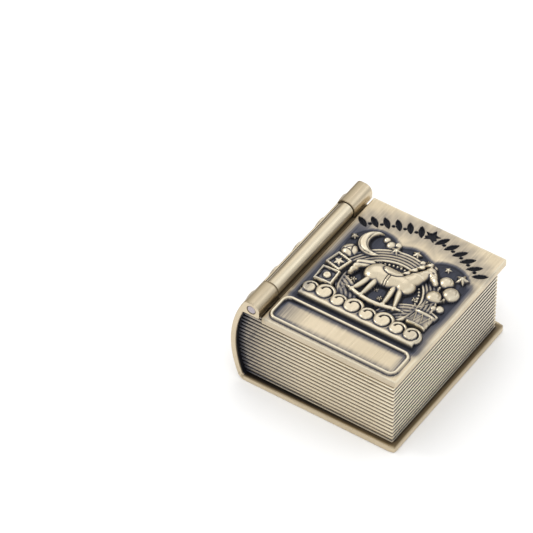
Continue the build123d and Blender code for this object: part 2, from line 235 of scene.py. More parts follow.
def linear(hexColour):  # sRGB hex to linear red, green, blue and a full alpha
    parts = [int(hexColour[k:k + 2], 16) / 255 for k in (1, 3, 5)]
    return tuple(c / 12.92 if c <= 0.04045 else ((c + 0.055) / 1.055) ** 2.4 for c in parts) + (1.0,)


def addNode(tree, kind, settings, inputs):  # one node with its settings, values and links
    node = tree.nodes.new(kind)
    for key, value in settings.items():
        setattr(node, key, value)
    for key, value in inputs.items():
        if isinstance(value, bpy.types.NodeSocket):
            tree.links.new(value, node.inputs[key])
        else:
            node.inputs[key].default_value = value
    return node


def newMaterial(name):  # a material without nodes, and its tree
    material = bpy.data.materials.new(name)
    material.use_nodes = True
    material.node_tree.nodes.clear()
    return material, material.node_tree


# Antique brass plate on a zinc casting: plated bright, blackened, then brushed so that only recesses stay
# dark. To the eye it is warm champagne metal with fine scratches all one way, and blue-black shade in every
# hollow. Mesh attributes also paint shade, highlights and reflected tints into this colour.
brass = {
    "bright": "#efe4cb",       # rubbed edges, and painted highlights
    "clean": "#d8c9ae",        # brushed faces
    "dull": "#b9a98a",         # where the brush touched lightly
    "mottle": 0.4,             # how far the clean tone goes over into the dull one
    # the blackening and painted shade in three depths, each as two painted reflections: cool under the open
    # sky, warm in the shade of other brass
    "thin": ("#847e78", "#87775b"),
    "dark": ("#474a57", "#4a3f33"),
    "darkest": ("#15161d", "#1a1511"),
    "films": (("thin", 0.0, 0.45), ("dark", 0.3, 0.8), ("darkest", 0.7, 1.0)),  # patina and painted shade where each sets in
    "streak": 0.36,            # how far scratches break up the border of patina and painted shade
    "sheltered": 0.75,         # share of the streaks that is missing in the shade of other brass
    "scratchAcross": 0.18,     # mm between scratches
    "scratchAlong": 8.0,       # mm
    "scratchDepth": 0.02,      # mm
    "cloudSize": 9.0,          # mm, slow change of tone
    "grain": 0.16,             # mm, orange-peel of the casting under the plate
    "grainDepth": 0.01,        # mm
    "roughness": (0.24, 0.38),  # between and on the scratches
    "darkenedRoughness": 0.46,
    "darkenedMetallic": 0.6,
}


def brushedBrass(name, turn):
    # scratches run along the object's Y axis turned by these degrees; patina, wear, painted shade, painted
    # highlights and painted reflection come from the mesh
    material, tree = newMaterial(name)
    place = addNode(tree, "ShaderNodeTexCoord", {}, {}).outputs["Object"]
    across, along = 1 / (brass["scratchAcross"] * mm), 1 / (brass["scratchAlong"] * mm)
    lengthways = addNode(tree, "ShaderNodeMapping", {}, {
        "Vector": place, "Rotation": [math.radians(a) for a in turn]}).outputs[0]
    stretched = addNode(tree, "ShaderNodeMapping", {}, {
        "Vector": lengthways, "Scale": (across, along, across)}).outputs[0]
    scratches = addNode(tree, "ShaderNodeTexNoise", {}, {
        "Vector": stretched, "Scale": 1.0, "Detail": 3.0, "Roughness": 0.6}).outputs["Fac"]
    clouds = addNode(tree, "ShaderNodeTexNoise", {}, {
        "Vector": place, "Scale": 1 / (brass["cloudSize"] * mm), "Detail": 3.0}).outputs["Fac"]
    grain = addNode(tree, "ShaderNodeTexNoise", {}, {
        "Vector": place, "Scale": 1 / (brass["grain"] * mm), "Detail": 2.0}).outputs["Fac"]
    patinaAndShade, wearAndHighlight, brassReflection = [
        addNode(tree, "ShaderNodeAttribute", {"attribute_name": layer}, {}).outputs["Fac"]
        for layer in ("patinaAndShade", "wearAndHighlight", "brassReflection")]

    # the brush leaves a streaky border: scratches count where patina and painted shade are neither full nor
    # gone
    left = addNode(tree, "ShaderNodeMath", {"operation": "SUBTRACT"}, {0: 1.0, 1: patinaAndShade}).outputs[0]
    reached = addNode(tree, "ShaderNodeMath", {"operation": "MULTIPLY_ADD"}, {
        0: brassReflection, 1: -brass["sheltered"], 2: 1.0}).outputs[0]
    both = addNode(tree, "ShaderNodeMath", {"operation": "MULTIPLY"}, {0: patinaAndShade, 1: reached}).outputs[0]
    border = addNode(tree, "ShaderNodeMath", {"operation": "MULTIPLY"}, {0: both, 1: left}).outputs[0]
    streak = addNode(tree, "ShaderNodeMapRange", {"clamp": False}, {
        "Value": scratches, "From Min": 0.35, "From Max": 0.65,
        "To Min": -brass["streak"], "To Max": brass["streak"]}).outputs[0]
    streaked = addNode(tree, "ShaderNodeMath", {"operation": "MULTIPLY_ADD"}, {
        0: streak, 1: border, 2: patinaAndShade}).outputs[0]
    mask = addNode(tree, "ShaderNodeClamp", {}, {"Value": streaked}).outputs[0]

    # clean and dull metal in clouds and scratches, rubbed bright and painted highlights, then one film of
    # blackening and painted shade over another, each tinted by the painted reflection
    tone = addNode(tree, "ShaderNodeMath", {"operation": "MULTIPLY_ADD"}, {
        0: scratches, 1: 0.8, 2: clouds}).outputs[0]
    mottle = addNode(tree, "ShaderNodeMapRange", {}, {
        "Value": tone, "From Min": 0.7, "From Max": 1.15, "To Max": brass["mottle"]}).outputs[0]
    metal = addNode(tree, "ShaderNodeMix", {"data_type": "RGBA"}, {
        0: mottle, 6: linear(brass["clean"]), 7: linear(brass["dull"])}).outputs[2]
    colour = addNode(tree, "ShaderNodeMix", {"data_type": "RGBA"}, {
        0: wearAndHighlight, 6: metal, 7: linear(brass["bright"])}).outputs[2]
    for film, low, high in brass["films"]:
        clear, shaded = brass[film]
        amount = addNode(tree, "ShaderNodeMapRange", {}, {
            "Value": mask, "From Min": low, "From Max": high}).outputs[0]
        shade = addNode(tree, "ShaderNodeMix", {"data_type": "RGBA"}, {
            0: brassReflection, 6: linear(clear), 7: linear(shaded)}).outputs[2]
        colour = addNode(tree, "ShaderNodeMix", {"data_type": "RGBA"}, {
            0: amount, 6: colour, 7: shade}).outputs[2]

    smoothest, roughest = brass["roughness"]
    metalRough = addNode(tree, "ShaderNodeMapRange", {}, {
        "Value": scratches, "From Min": 0.3, "From Max": 0.7,
        "To Min": smoothest, "To Max": roughest}).outputs[0]
    rough = addNode(tree, "ShaderNodeMix", {"data_type": "FLOAT"}, {
        0: mask, 2: metalRough, 3: brass["darkenedRoughness"]}).outputs[0]
    metallic = addNode(tree, "ShaderNodeMapRange", {}, {
        "Value": mask, "To Min": 1.0, "To Max": brass["darkenedMetallic"]}).outputs[0]
    scratched = addNode(tree, "ShaderNodeBump", {}, {
        "Strength": 0.35, "Distance": brass["scratchDepth"] * mm, "Height": scratches}).outputs[0]
    grained = addNode(tree, "ShaderNodeBump", {}, {
        "Strength": 0.3, "Distance": brass["grainDepth"] * mm, "Height": grain,
        "Normal": scratched}).outputs[0]
    shader = addNode(tree, "ShaderNodeBsdfPrincipled", {}, {
        "Base Color": colour, "Metallic": metallic, "Roughness": rough, "Normal": grained})
    addNode(tree, "ShaderNodeOutputMaterial", {}, {"Surface": shader.outputs[0]})
    return material


# Brushed steel of the pin: cooler and greyer than the brass, with turning marks on its end.
steel = {"clean": "#bcb3b7", "dull": "#948c91", "mottle": 0.8, "ring": 0.18, "ringDepth": 0.01,
         "roughness": 0.32}


def brushedSteel():  # two greys mixed by a fine noise, which also roughens it
    material, tree = newMaterial("brushed steel, pin")
    place = addNode(tree, "ShaderNodeTexCoord", {}, {}).outputs["Object"]
    marks = addNode(tree, "ShaderNodeTexNoise", {}, {
        "Vector": place, "Scale": 1 / (steel["ring"] * mm), "Detail": 2.0}).outputs["Fac"]
    amount = addNode(tree, "ShaderNodeMapRange", {}, {
        "Value": marks, "From Min": 0.3, "From Max": 0.7, "To Max": steel["mottle"]}).outputs[0]
    colour = addNode(tree, "ShaderNodeMix", {"data_type": "RGBA"}, {
        0: amount, 6: linear(steel["clean"]), 7: linear(steel["dull"])}).outputs[2]
    ringed = addNode(tree, "ShaderNodeBump", {}, {
        "Strength": 0.3, "Distance": steel["ringDepth"] * mm, "Height": marks}).outputs[0]
    shader = addNode(tree, "ShaderNodeBsdfPrincipled", {}, {
        "Base Color": colour, "Metallic": 1.0, "Roughness": steel["roughness"], "Normal": ringed})
    addNode(tree, "ShaderNodeOutputMaterial", {}, {"Surface": shader.outputs[0]})
    return material


# Flocked velvet: a dark blue pile whose edges catch a soft pale sheen.
velvet = {"deep": "#10131f", "pile": "#232a41", "sheen": "#8d97b5", "tuft": 0.35, "tuftDepth": 0.12,
          "brushed": 5.0}


def flockedVelvet():  # tufts over the wider patches that a finger leaves in the pile
    material, tree = newMaterial("flocked velvet, lining")
    place = addNode(tree, "ShaderNodeTexCoord", {}, {}).outputs["Object"]
    tuft = addNode(tree, "ShaderNodeTexNoise", {}, {
        "Vector": place, "Scale": 1 / (velvet["tuft"] * mm), "Detail": 3.0}).outputs["Fac"]
    nap = addNode(tree, "ShaderNodeTexNoise", {}, {
        "Vector": place, "Scale": 1 / (velvet["brushed"] * mm), "Detail": 2.0}).outputs["Fac"]
    both = addNode(tree, "ShaderNodeMath", {"operation": "MULTIPLY_ADD"}, {
        0: tuft, 1: 0.5, 2: nap}).outputs[0]
    amount = addNode(tree, "ShaderNodeMapRange", {}, {
        "Value": both, "From Min": 0.5, "From Max": 1.0}).outputs[0]
    colour = addNode(tree, "ShaderNodeMix", {"data_type": "RGBA"}, {
        0: amount, 6: linear(velvet["deep"]), 7: linear(velvet["pile"])}).outputs[2]
    tufted = addNode(tree, "ShaderNodeBump", {}, {
        "Strength": 0.6, "Distance": velvet["tuftDepth"] * mm, "Height": tuft}).outputs[0]
    shader = addNode(tree, "ShaderNodeBsdfPrincipled", {}, {
        "Base Color": colour, "Roughness": 0.95, "Specular IOR Level": 0.2, "Sheen Weight": 0.8,
        "Sheen Roughness": 0.4, "Sheen Tint": linear(velvet["sheen"]), "Normal": tufted})
    addNode(tree, "ShaderNodeOutputMaterial", {}, {"Surface": shader.outputs[0]})
    return material


coverBrass = brushedBrass("brushed antique brass, covers", (0, 0, 0))
blockBrass = brushedBrass("brushed antique brass, page edges", (0, 62, 90))
pinSteel = brushedSteel()
liningVelvet = flockedVelvet()
print("materials mixed: brass, steel, velvet")

# Back cover, spine and end knuckles
backCover = {
    "spineBulge": 3.74, "spineMidShare": 0.444, "spineWall": 1.25,
    "footRound": 1.8, "seatRound": 0.8, "plateRound": 0.35,
    "lipRise": 0.7, "lipRound": 0.2, "shoulderRound": 1.1,
    "knuckleLength": 7.4, "knuckleRadius": 1.95, "knuckleClearance": 0.78, "heelRound": 0.4,
    "cradleRadius": tubeRadius + 0.16,
    "edgeRound": 0.28, "cornerRound": 1.0, "columnStep": 0.4,
    "chain": (2, 4, 30, 8, 44),  # points on the fore edge, its rounding, the plate, the turn and the spine
    "bandCount": 5, "bandWidth": 2.4, "bandFlank": 0.7, "bandHeight": 0.35,
    "bandFoot": (2.1, 3.0),      # heights over which a band grows out of the spine
    "bandCrest": (1.0, 0.4),     # and over which it ends again, below the lip's top
    "boreRadius": 1.0, "countersink": 0.18,
}
spineX = coverLow[0] + backCover["bandHeight"]
spineMid = backCover["spineMidShare"] * knuckleTop
spineRadius = ((knuckleTop - spineMid) ** 2 + backCover["spineBulge"] ** 2) / (2 * backCover["spineBulge"])
innerRadius = spineRadius - backCover["spineWall"]
spineCentreX = spineX + spineRadius
knuckleStart = halfLength - backCover["knuckleLength"]
lipTop = pinZ + backCover["lipRise"]
underside = blockTop + backCover["knuckleClearance"]
bandPitch = 2 * halfLength / backCover["bandCount"]


def leftOf(radius, z):  # X of a circle about the spine's centre at a height, on the spine side
    return spineCentreX - np.sqrt(radius ** 2 - (z - spineMid) ** 2)


def headingTo(radius, z):  # angle of that point, in degrees
    return 180 - math.degrees(math.asin((z - spineMid) / radius))


def coverSection(isKnuckle):
    # The casting's outline in X and Z as two chains of equal count, outer and inner, both from fore edge to
    # top. Knuckles and middle have equal counts too, 42 above the spine's, so one grid runs through both.
    c = backCover
    ends, edges, plates, turns, spines = c["chain"]
    top, lead = (knuckleTop, c["shoulderRound"]) if isKnuckle else (lipTop, c["lipRound"])
    foot, seat, edge, heel = c["footRound"], c["seatRound"], c["plateRound"], c["heelRound"]
    footX, seatX = leftOf(spineRadius - foot, foot), leftOf(innerRadius - seat, plateTop + seat)
    footAt = headingTo(spineRadius - foot, foot)
    lipAt = headingTo(spineRadius - c["lipRound"], lipTop - c["lipRound"])
    topAt = headingTo(spineRadius - lead, top - lead)
    seatAt = headingTo(innerRadius - seat, plateTop + seat)
    seatEnd = spineMid + innerRadius * math.sin(math.radians(180 - seatAt))
    leadX = leftOf(spineRadius - lead, top - lead)
    middle = plateTop / 2
    outer = [
        run((foreX, middle), (foreX, edge), ends),
        arc(foreX - edge, edge, edge, 0, -90, edges),
        run((foreX - edge, 0), (footX, 0), plates),
        arc(footX, foot, foot, 270, footAt, turns),
        arc(spineCentreX, spineMid, spineRadius, footAt, lipAt, spines),
    ]
    z = np.linspace(seatEnd, underside, spines, endpoint=False)
    inner = [
        run((foreX, middle), (foreX, plateTop - edge), ends),
        arc(foreX - edge, plateTop - edge, edge, 0, 90, edges),
        run((foreX - edge, plateTop), (seatX, plateTop), plates),
        arc(seatX, plateTop + seat, seat, 270, seatAt, turns),
        np.stack([leftOf(innerRadius, z), z], -1),
    ]
    if isKnuckle:
        reach, heelX = c["knuckleRadius"], pinX + c["knuckleRadius"]
        innerTop = (leftOf(innerRadius, underside), underside)
        outer += [
            arc(spineCentreX, spineMid, spineRadius, lipAt, topAt, 6),
            arc(leadX, top - lead, lead, topAt, 90, 8),
            run((leadX, top), (pinX, top), 20),
            arc(pinX, pinZ, reach, 90, 45, 8),
        ]
        inner += [
            run(innerTop, (heelX - heel, underside), 16),
            arc(heelX - heel, underside + heel, heel, -90, 0, 6),
            run((heelX, underside + heel), (heelX, pinZ), 12),
            arc(pinX, pinZ, reach, 0, 45, 8),
        ]
        tip = (pinX + reach * math.cos(math.radians(45)), pinZ + reach * math.sin(math.radians(45)))
    else:
        z = np.append(np.linspace(underside, lipTop, 42, endpoint=False), lipTop)
        cradle = pinX - np.sqrt(np.maximum(c["cradleRadius"] ** 2 - (z - pinZ) ** 2, 0))
        lip = np.stack([np.minimum(leftOf(innerRadius, z), cradle), z], -1)
        tip = lip[-1]
        outer += [arc(leadX, top - lead, lead, lipAt, 90, 14), run((leadX, top), tip, 28)]
        inner += [lip[:-1]]
    return np.concatenate(outer + [[tip]] + [part[::-1] for part in inner[::-1]])[:-1]


def fromBand(y):  # distance along the spine from the nearest band's middle
    return np.abs((y + bandPitch / 2) % bandPitch - bandPitch / 2)


def bandShape(y):  # 1 on a band's crown, 0 between bands, with sloping flanks
    half = backCover["bandWidth"] / 2
    return fade(half - backCover["bandFlank"], half, fromBand(y))


def makeBackCover():
    # the section swept along the spine; its ends are drawn in by a quarter round, its bands pushed outwards
    c, edge = backCover, backCover["edgeRound"]
    inner = np.linspace(-knuckleStart, knuckleStart, round(2 * knuckleStart / c["columnStep"]) + 1)
    outer = np.linspace(knuckleStart, halfLength - edge, round(c["knuckleLength"] / c["columnStep"]) + 1)
    turn = np.radians(np.linspace(0, 90, 6)[1:])
    lead = np.concatenate([outer, halfLength - edge + edge * np.sin(turn), [halfLength]])
    inset = np.concatenate([np.zeros(len(outer)), edge * (1 - np.cos(turn)), [edge + 0.05]])
    y = np.concatenate([-lead[::-1], inner, lead])
    inset = np.concatenate([inset[::-1], np.zeros(len(inner)), inset])
    isKnuckle = np.concatenate([np.ones(len(lead)), np.zeros(len(inner)), np.ones(len(lead))]).astype(bool)
    loops = np.where(isKnuckle[:, None, None], coverSection(True), coverSection(False))
    ahead = np.roll(loops, -1, axis=1) - np.roll(loops, 1, axis=1)
    ahead /= np.linalg.norm(ahead, axis=2, keepdims=True)
    outward = np.stack([-ahead[..., 1], ahead[..., 0]], -1)  # the loop runs clockwise: its left is outside
    onSpine = np.zeros(loops.shape[1])
    onSpine[sum(c["chain"][:4]):sum(c["chain"])] = 1
    (footLow, footHigh), (crestLow, crestHigh) = c["bandFoot"], c["bandCrest"]
    rise = smooth(footLow, footHigh, loops[..., 1])
    rise = rise * fade(lipTop - crestLow, lipTop - crestHigh, loops[..., 1])
    band = c["bandHeight"] * onSpine * rise * bandShape(y)[:, None]
    loops = loops + outward * (band - inset[:, None])[..., None]
    # the plan's fore corners are rounded: each column ends where the corner's circle does
    past = np.clip(loops[..., 0] - (foreX - c["cornerRound"]), 0, c["cornerRound"])
    reach = halfLength - c["cornerRound"] + np.sqrt(c["cornerRound"] ** 2 - past ** 2)
    points = np.stack([loops[..., 0], y[:, None] * reach / halfLength, loops[..., 1]], -1)
    # ladder rungs join the outer chain to the inner one over each end, with a triangle at both its tips
    rows, columns = points.shape[:2]
    half, last = columns // 2, (rows - 1) * columns
    k = np.arange(1, half)
    ladder = np.stack([k, k + 1, columns - k - 1, columns - k], -1)
    ends = [ladder[:-1], last + ladder[:-1, ::-1]]
    tips = ((0, 1, columns - 1), (half - 1, half, half + 1))
    faces = np.concatenate([gridFaces(rows, columns, closeColumns=True)] + ends)
    mesh = makeMesh("backCover", points.reshape(-1, 3), faces,
                    [np.array(tip) + row for row in (0, last) for tip in tips])
    tidyMesh(mesh)
    return mesh


def boreCutter():  # a round bar through both knuckles, wider at its mouths
    narrow, wide = backCover["boreRadius"], backCover["boreRadius"] + backCover["countersink"]
    mouth, past = halfLength - backCover["countersink"], halfLength + 1
    rings = [(wide, -past), (wide, -halfLength), (narrow, -mouth), (narrow, mouth), (wide, halfLength),
             (wide, past)]
    return loopMesh("boreCutter", aboutPin(*zip(*rings), 72), closed=False)


def cutWith(mesh, cutterMesh):  # the first mesh less the second
    collection = bpy.context.scene.collection
    body, cutter = bpy.data.objects.new("body", mesh), bpy.data.objects.new("cutter", cutterMesh)
    collection.objects.link(body)
    collection.objects.link(cutter)
    cut = body.modifiers.new("cut", "BOOLEAN")
    cut.solver, cut.operation, cut.object = "EXACT", "DIFFERENCE", cutter
    result = bpy.data.meshes.new_from_object(body.evaluated_get(bpy.context.evaluated_depsgraph_get()))
    for spare in (body, cutter):
        bpy.data.objects.remove(spare)
    return result


# Strengths of patina, painted shade, wear and painted highlight on the back cover, from 0 to 1
coverShade = {
    "core": 0.93, "coreThins": 0.0165,    # on the plate close beside the block, and how it thins with each mm
    "film": 0.33, "filmThins": 0.019,     # and further out
    "foreFilm": 0.36,                     # the same along the fore edge
    "rim": 0.95, "rimBrassReflection": 0.3,        # inside the spine's rim
    "tubeGap": 0.45, "bore": 0.9,         # painted shade in the gaps round the tube's ends and the pin's
    # knuckle is painted shade on the knuckles' round backs
    "endFace": 0.06, "knuckle": 0.34, "spine": 0.12,
    "bandRoot": 0.75, "bandRootWidth": 0.9,
    "bandWear": 0.6, "knuckleHighlight": 0.25,
}


def shadeBackCover(mesh):
    # the strongest of the shades of plate, rim, knuckles and spine, each by the distance to its edge
    s = coverShade
    x, y, z = pointsOf(mesh).T
    side = np.abs(y)
    fromPin, around = polar(x, z, pinX, pinZ)
    around = np.degrees(around)
    # round the block's foot: black beside it, then a film that thins towards the fore edge
    pastBlock = np.maximum(side - blockHalf, x - blockForeX)
    isFore = smooth(-0.5, 0.5, (x - blockForeX) - (side - blockHalf))
    core = np.clip(s["core"] - s["coreThins"] * x, 0.4, 1.0) * (1 - isFore) + isFore
    film = np.clip(s["film"] - s["filmThins"] * x, 0.05, 0.6) * (1 - isFore) + s["foreFilm"] * isFore
    film *= 1 - (0.5 + 0.35 * smooth(-12, 4, x)) * smooth(1.15, 1.48, pastBlock)
    foot = film + (core - film) * fade(0.55, 1.1 + 0.1 * isFore, pastBlock)
    onPlate = (z > plateTop - 0.3) & (z < plateTop + 0.05)
    # the spine from inside, and its outer face with the roots of the bands
    insideRim = x > leftOf(innerRadius + 0.3, np.clip(z, plateTop, knuckleTop))
    insideRim = insideRim & (z > plateTop) & (z < underside + 0.1)
    spineSide = (x < leftOf(spineRadius - 0.2, np.clip(z, 0.5, knuckleTop - 0.3))) & (z > 0.6)
    fromRoot = fromBand(y) - backCover["bandWidth"] / 2 - 0.1
    bandRoot = ridge(fromRoot, s["bandRoot"], s["bandRootWidth"]) * smooth(2.0, 3.4, z) * fade(21.5, 23.2, z)
    # the knuckles: painted shade on their ends beside the tube, in the bores' mouths and on their round backs
    besideTube = fade(0, 0.35, side - knuckleStart) * (z > underside - 1) * (side > knuckleStart - 0.01)
    inBore = fade(1.0, 1.15, fromPin) * (side > halfLength - 0.3)
    onKnuckle = (side > knuckleStart + 0.05) * (z > underside + 0.3)
    onBack = smooth(65, 135, around) * onKnuckle * (side < halfLength - 0.02)
    paint(mesh, "patinaAndShade", np.maximum.reduce([
        np.where(onPlate, foot, 0.0),
        s["endFace"] * (side > halfLength - 0.02) * (z > plateTop),
        s["rim"] * (insideRim & (side < halfLength - 0.4)),
        s["tubeGap"] * besideTube,
        s["bore"] * inBore,
        s["knuckle"] * onBack,
        spineSide * (bandRoot + s["spine"]),
    ]))
    # wear on the bands' crowns, and a painted highlight on the knuckles' upper fore side
    paint(mesh, "wearAndHighlight", np.maximum(
        s["bandWear"] * smooth(0.3, 1.0, bandShape(y)) * spineSide,
        s["knuckleHighlight"] * onKnuckle * smooth(10, 35, around) * fade(60, 85, around)))
    # painted reflection: warm where the back cover faces other brass, less so inside the spine's rim
    paint(mesh, "brassReflection", np.where(insideRim, s["rimBrassReflection"], 1.0))


coverMesh = cutWith(makeBackCover(), boreCutter())
coverMesh.name = "backCoverCasting"
tidyMesh(coverMesh)
shadeBackCover(coverMesh)
addPiece("backCoverCasting", coverMesh, "box", ["back_cover"], coverBrass)
print("back cover cast:", len(coverMesh.polygons), "faces")

# Page block: ribs like page edges, carried round three sides, and the cavity inside
pages = {
    "grooves": 17, "footPage": 0.47, "pitch": 1.092,
    "grooveDepth": 0.38, "grooveFloor": 0.10, "grooveEdge": 0.33,
    # heights above a groove's middle where the wall has a row of points
    "rows": (0, 0.10, 0.15, 0.20, 0.25, 0.29, 0.34, 0.44),
    "corner": 0.25, "cavityCorner": 1.6, "rimRound": 0.15, "spineOverlap": 0.03,
    "sideColumns": 44, "cornerColumns": 8, "crowding": 1.5,
}
liningGap = 0.05
cavityLow = liningLow[:2] - liningGap
cavityHigh = liningHigh[:2] + liningGap
firstGroove, pagePitch = plateTop + pages["footPage"], pages["pitch"]


def blockSpineX(z):  # the block's spine side follows the inside of the spine and its seat round
    seat = backCover["seatRound"]
    seatX, seatZ = leftOf(innerRadius - seat, plateTop + seat), plateTop + seat
    onRound = seatX - np.sqrt(np.maximum(seat ** 2 - np.minimum(z - seatZ, 0) ** 2, 0))
    onSpine = leftOf(innerRadius, z)
    return np.where(z < seatZ, np.maximum(onRound, onSpine), onSpine) - pages["spineOverlap"]


def grooveDepth(z):  # 1 on the floor of a groove, 0 on a page, by the distance to the nearest groove
    fromGroove = np.abs((z - firstGroove + pagePitch / 2) % pagePitch - pagePitch / 2)
    return fade(pages["grooveFloor"], pages["grooveEdge"], fromGroove)


def blockOutline(z, depth):
    # Plan of the block at a height: tail side, corner, fore side, corner, head side, spine side
    n, m, r = pages["sideColumns"], pages["cornerColumns"], pages["corner"]
    z, depth = np.broadcast_arrays(np.atleast_1d(z)[:, None], np.atleast_1d(depth)[:, None])
    left, fore, half = blockSpineX(z), blockForeX - depth, blockHalf - depth
    u = np.linspace(0, 1, n, endpoint=False)[None, :]
    a = np.radians(np.linspace(0, 90, m, endpoint=False))[None, :]
    bend = np.maximum(r - depth, 0.04)  # the floor of a groove turns a tighter corner
    foreMid, halfMid = fore - bend, half - bend
    tail = left + (foreMid - left) * u ** pages["crowding"]  # columns lie closer together by the spine
    head = left + (foreMid - left) * (1 - u) ** pages["crowding"]
    xs = np.concatenate([tail, foreMid + bend * np.sin(a), fore + 0 * u, foreMid + bend * np.cos(a), head,
                         left + 0 * u], 1)
    ys = np.concatenate([-half + 0 * u, -halfMid - bend * np.cos(a), (2 * u - 1) * halfMid,
                         halfMid + bend * np.sin(a), half + 0 * u, half * (1 - 2 * u)], 1)
    return np.stack([xs, ys], -1)


def cavityOutline(grow):
    # Plan of the cavity, with as many columns as the block's outline; grow widens it
    n, m, r = pages["sideColumns"], pages["cornerColumns"], pages["cavityCorner"]
    (x0, y0), (x1, y1) = cavityLow + r, cavityHigh - r
    r = r + grow
    third = n // 4
    return np.concatenate([
        run((x0, y0 - r), (x1, y0 - r), n), arc(x1, y0, r, -90, 0, m),
        run((x1 + r, y0), (x1 + r, y1), n), arc(x1, y1, r, 0, 90, m),
        run((x1, y1 + r), (x0, y1 + r), n), arc(x0, y1, r, 90, 180, third),
        run((x0 - r, y1), (x0 - r, y0), n - 2 * third), arc(x0, y0, r, 180, 270, third),
    ])


def makePageBlock():
    # up the ribbed outside, over the rim to the cavity, and down the cavity's wall to the start
    steps = np.array(pages["rows"])
    page = np.concatenate([steps, [pagePitch / 2], pagePitch - steps[:0:-1]])
    z = (firstGroove + np.arange(pages["grooves"])[:, None] * pagePitch + page[None, :]).ravel()
    highest = blockTop - pages["rimRound"]
    z = np.unique(np.round(np.concatenate([[plateTop], firstGroove - steps[::-1], z, [highest]]), 5))
    z = z[z <= highest + 1e-6]
    outer = blockOutline(z, pages["grooveDepth"] * grooveDepth(z))
    rim, cavity = blockOutline(blockTop - 0.05, pages["grooveDepth"])[0], cavityOutline(0)
    walls = [np.concatenate([outer, np.broadcast_to(z[:, None, None], outer.shape[:2] + (1,))], 2)]
    inside = [(rim * (1 - share) + cavity * share, blockTop) for share in (0.0, 0.06, 0.5, 0.94)]
    inside += [(cavityOutline(0.06), blockTop - 0.02)]
    inside += [(cavity, height) for height in (
        blockTop - 0.1, blockTop - 1.0, (plateTop + blockTop) / 2, plateTop + 0.5, plateTop)]
    walls += [np.column_stack([loop, np.full(len(loop), height)])[None] for loop, height in inside]
    return loopMesh("pageBlock", np.concatenate(walls), closed=True, sharpDegrees=40)


# Strengths of patina, painted shade and wear on the page block, from 0 to 1
pageShade = {
    "spine": 0.92, "near": 0.47, "middle": 0.27, "far": 0.18,  # painted shade at the spine, and what goes further off
    "foot": 0.12, "endGroove": 0.5, "foreGroove": 0.72, "foreHead": 0.08,
    "endWear": 0.5, "cornerWear": 0.3, "insideWear": 0.2,
}


def shadePageBlock(mesh):
    # dark by the depth under the pages' edges, with painted shade towards the spine and at the foot, rubbed
    # where a page stands proud
    s = pageShade
    x, y, z = pointsOf(mesh).T
    long = 60.0  # mm, a box that reaches out past the spine gives the depth under the three ribbed sides
    depth = -boxAt(x, y, blockForeX - long / 2, 0, long, 2 * blockHalf, 0, pages["corner"])
    ribbed = (depth < pages["grooveDepth"] + 0.05) & (z < blockTop - 0.02)
    onEnds = np.abs(y) > blockHalf - pages["grooveDepth"] - 0.05
    inRib = np.clip(depth / pages["grooveDepth"], 0, 1)
    grooves = smooth(0.1, 0.95, inRib)
    fromSpine = x - blockSpineX(np.clip(z, plateTop, blockTop))
    # painted shade where the spine's rim shelters the ends, darkest beside it and fading out by about 19 mm
    spineShade = s["spine"] - s["near"] * smooth(0.2, 2.0, fromSpine)
    spineShade = spineShade - s["middle"] * smooth(1.6, 7.5, fromSpine) - s["far"] * smooth(6, 19, fromSpine)
    # painted shade at the foot of the ends, over the lowest 1.5 mm
    footShade = s["foot"] * fade(0.1, 1.5, z - plateTop) * onEnds
    ends = s["endGroove"] * grooves + spineShade * (0.75 + 0.25 * grooves)
    fore = s["foreGroove"] * smooth(0.0, 0.35, inRib) + s["foreHead"] * smooth(4, 16, y)
    paint(mesh, "patinaAndShade", np.where(ribbed, np.where(onEnds, ends, fore) + footShade, 0.0))
    endWear = s["endWear"] * smooth(3, 12, fromSpine) + s["cornerWear"] * smooth(14, 19, x)
    worn = np.where(onEnds, endWear, 1.0)
    paint(mesh, "wearAndHighlight", np.where(ribbed, fade(0.0, 0.25, inRib) * worn, s["insideWear"]))


blockMesh = makePageBlock()
shadePageBlock(blockMesh)
addPiece("pageBlockCasting", blockMesh, "box", ["page_block"], blockBrass)
print("page block cast:", len(blockMesh.polygons), "faces")

# Front cover: plate with nameplate border and sunk garland, tube on the pin and the web between
lid = {
    "edgeRound": 0.32, "foreCorner": 0.45, "spineCorner": 0.33, "step": 0.13, "knuckleGap": 0.45,
    "borderWidth": 0.85, "borderRise": 0.55, "borderRound": 0.34, "borderCorner": 2.0,
    "borderLength": 32.0, "borderHeight": 7.8, "borderMargin": 1.1, "borderShift": -0.3,
    "garlandRadius": 27.0, "garlandCentre": 13.7, "garlandStep": 5.6, "leaves": 6, "leafLength": 3.7,
    "leafWidth": 1.35, "leafLean": 24.0, "berry": 0.42, "berryDrop": 1.25, "star": 2.0, "starWaist": 0.46,
    "sunk": 0.4, "midrib": 0.2, "midribShare": 0.3,
    "tubeHalf": 14.45, "tubeRound": 0.18, "boreRadius": 1.05, "tubeColumns": 128, "tubeRows": 38,
    "webDrop": 0.5, "webInset": 0.3, "webShort": 0.05,
}
lidSpineX = pinX + backCover["knuckleRadius"] + lid["knuckleGap"]
lidMidX = (lidSpineX + lidForeX) / 2
borderX, borderY = lidMidX + lid["borderShift"], lid["borderMargin"] + lid["borderHeight"] / 2 - halfLength
garlandX, garlandY = lidMidX, lid["garlandCentre"] - halfLength


def borderAt(x, y):  # distance to the middle of the nameplate's ridge
    edge = boxAt(x, y, borderX, borderY, lid["borderLength"], lid["borderHeight"], 0, lid["borderCorner"])
    return edge + lid["borderWidth"] / 2


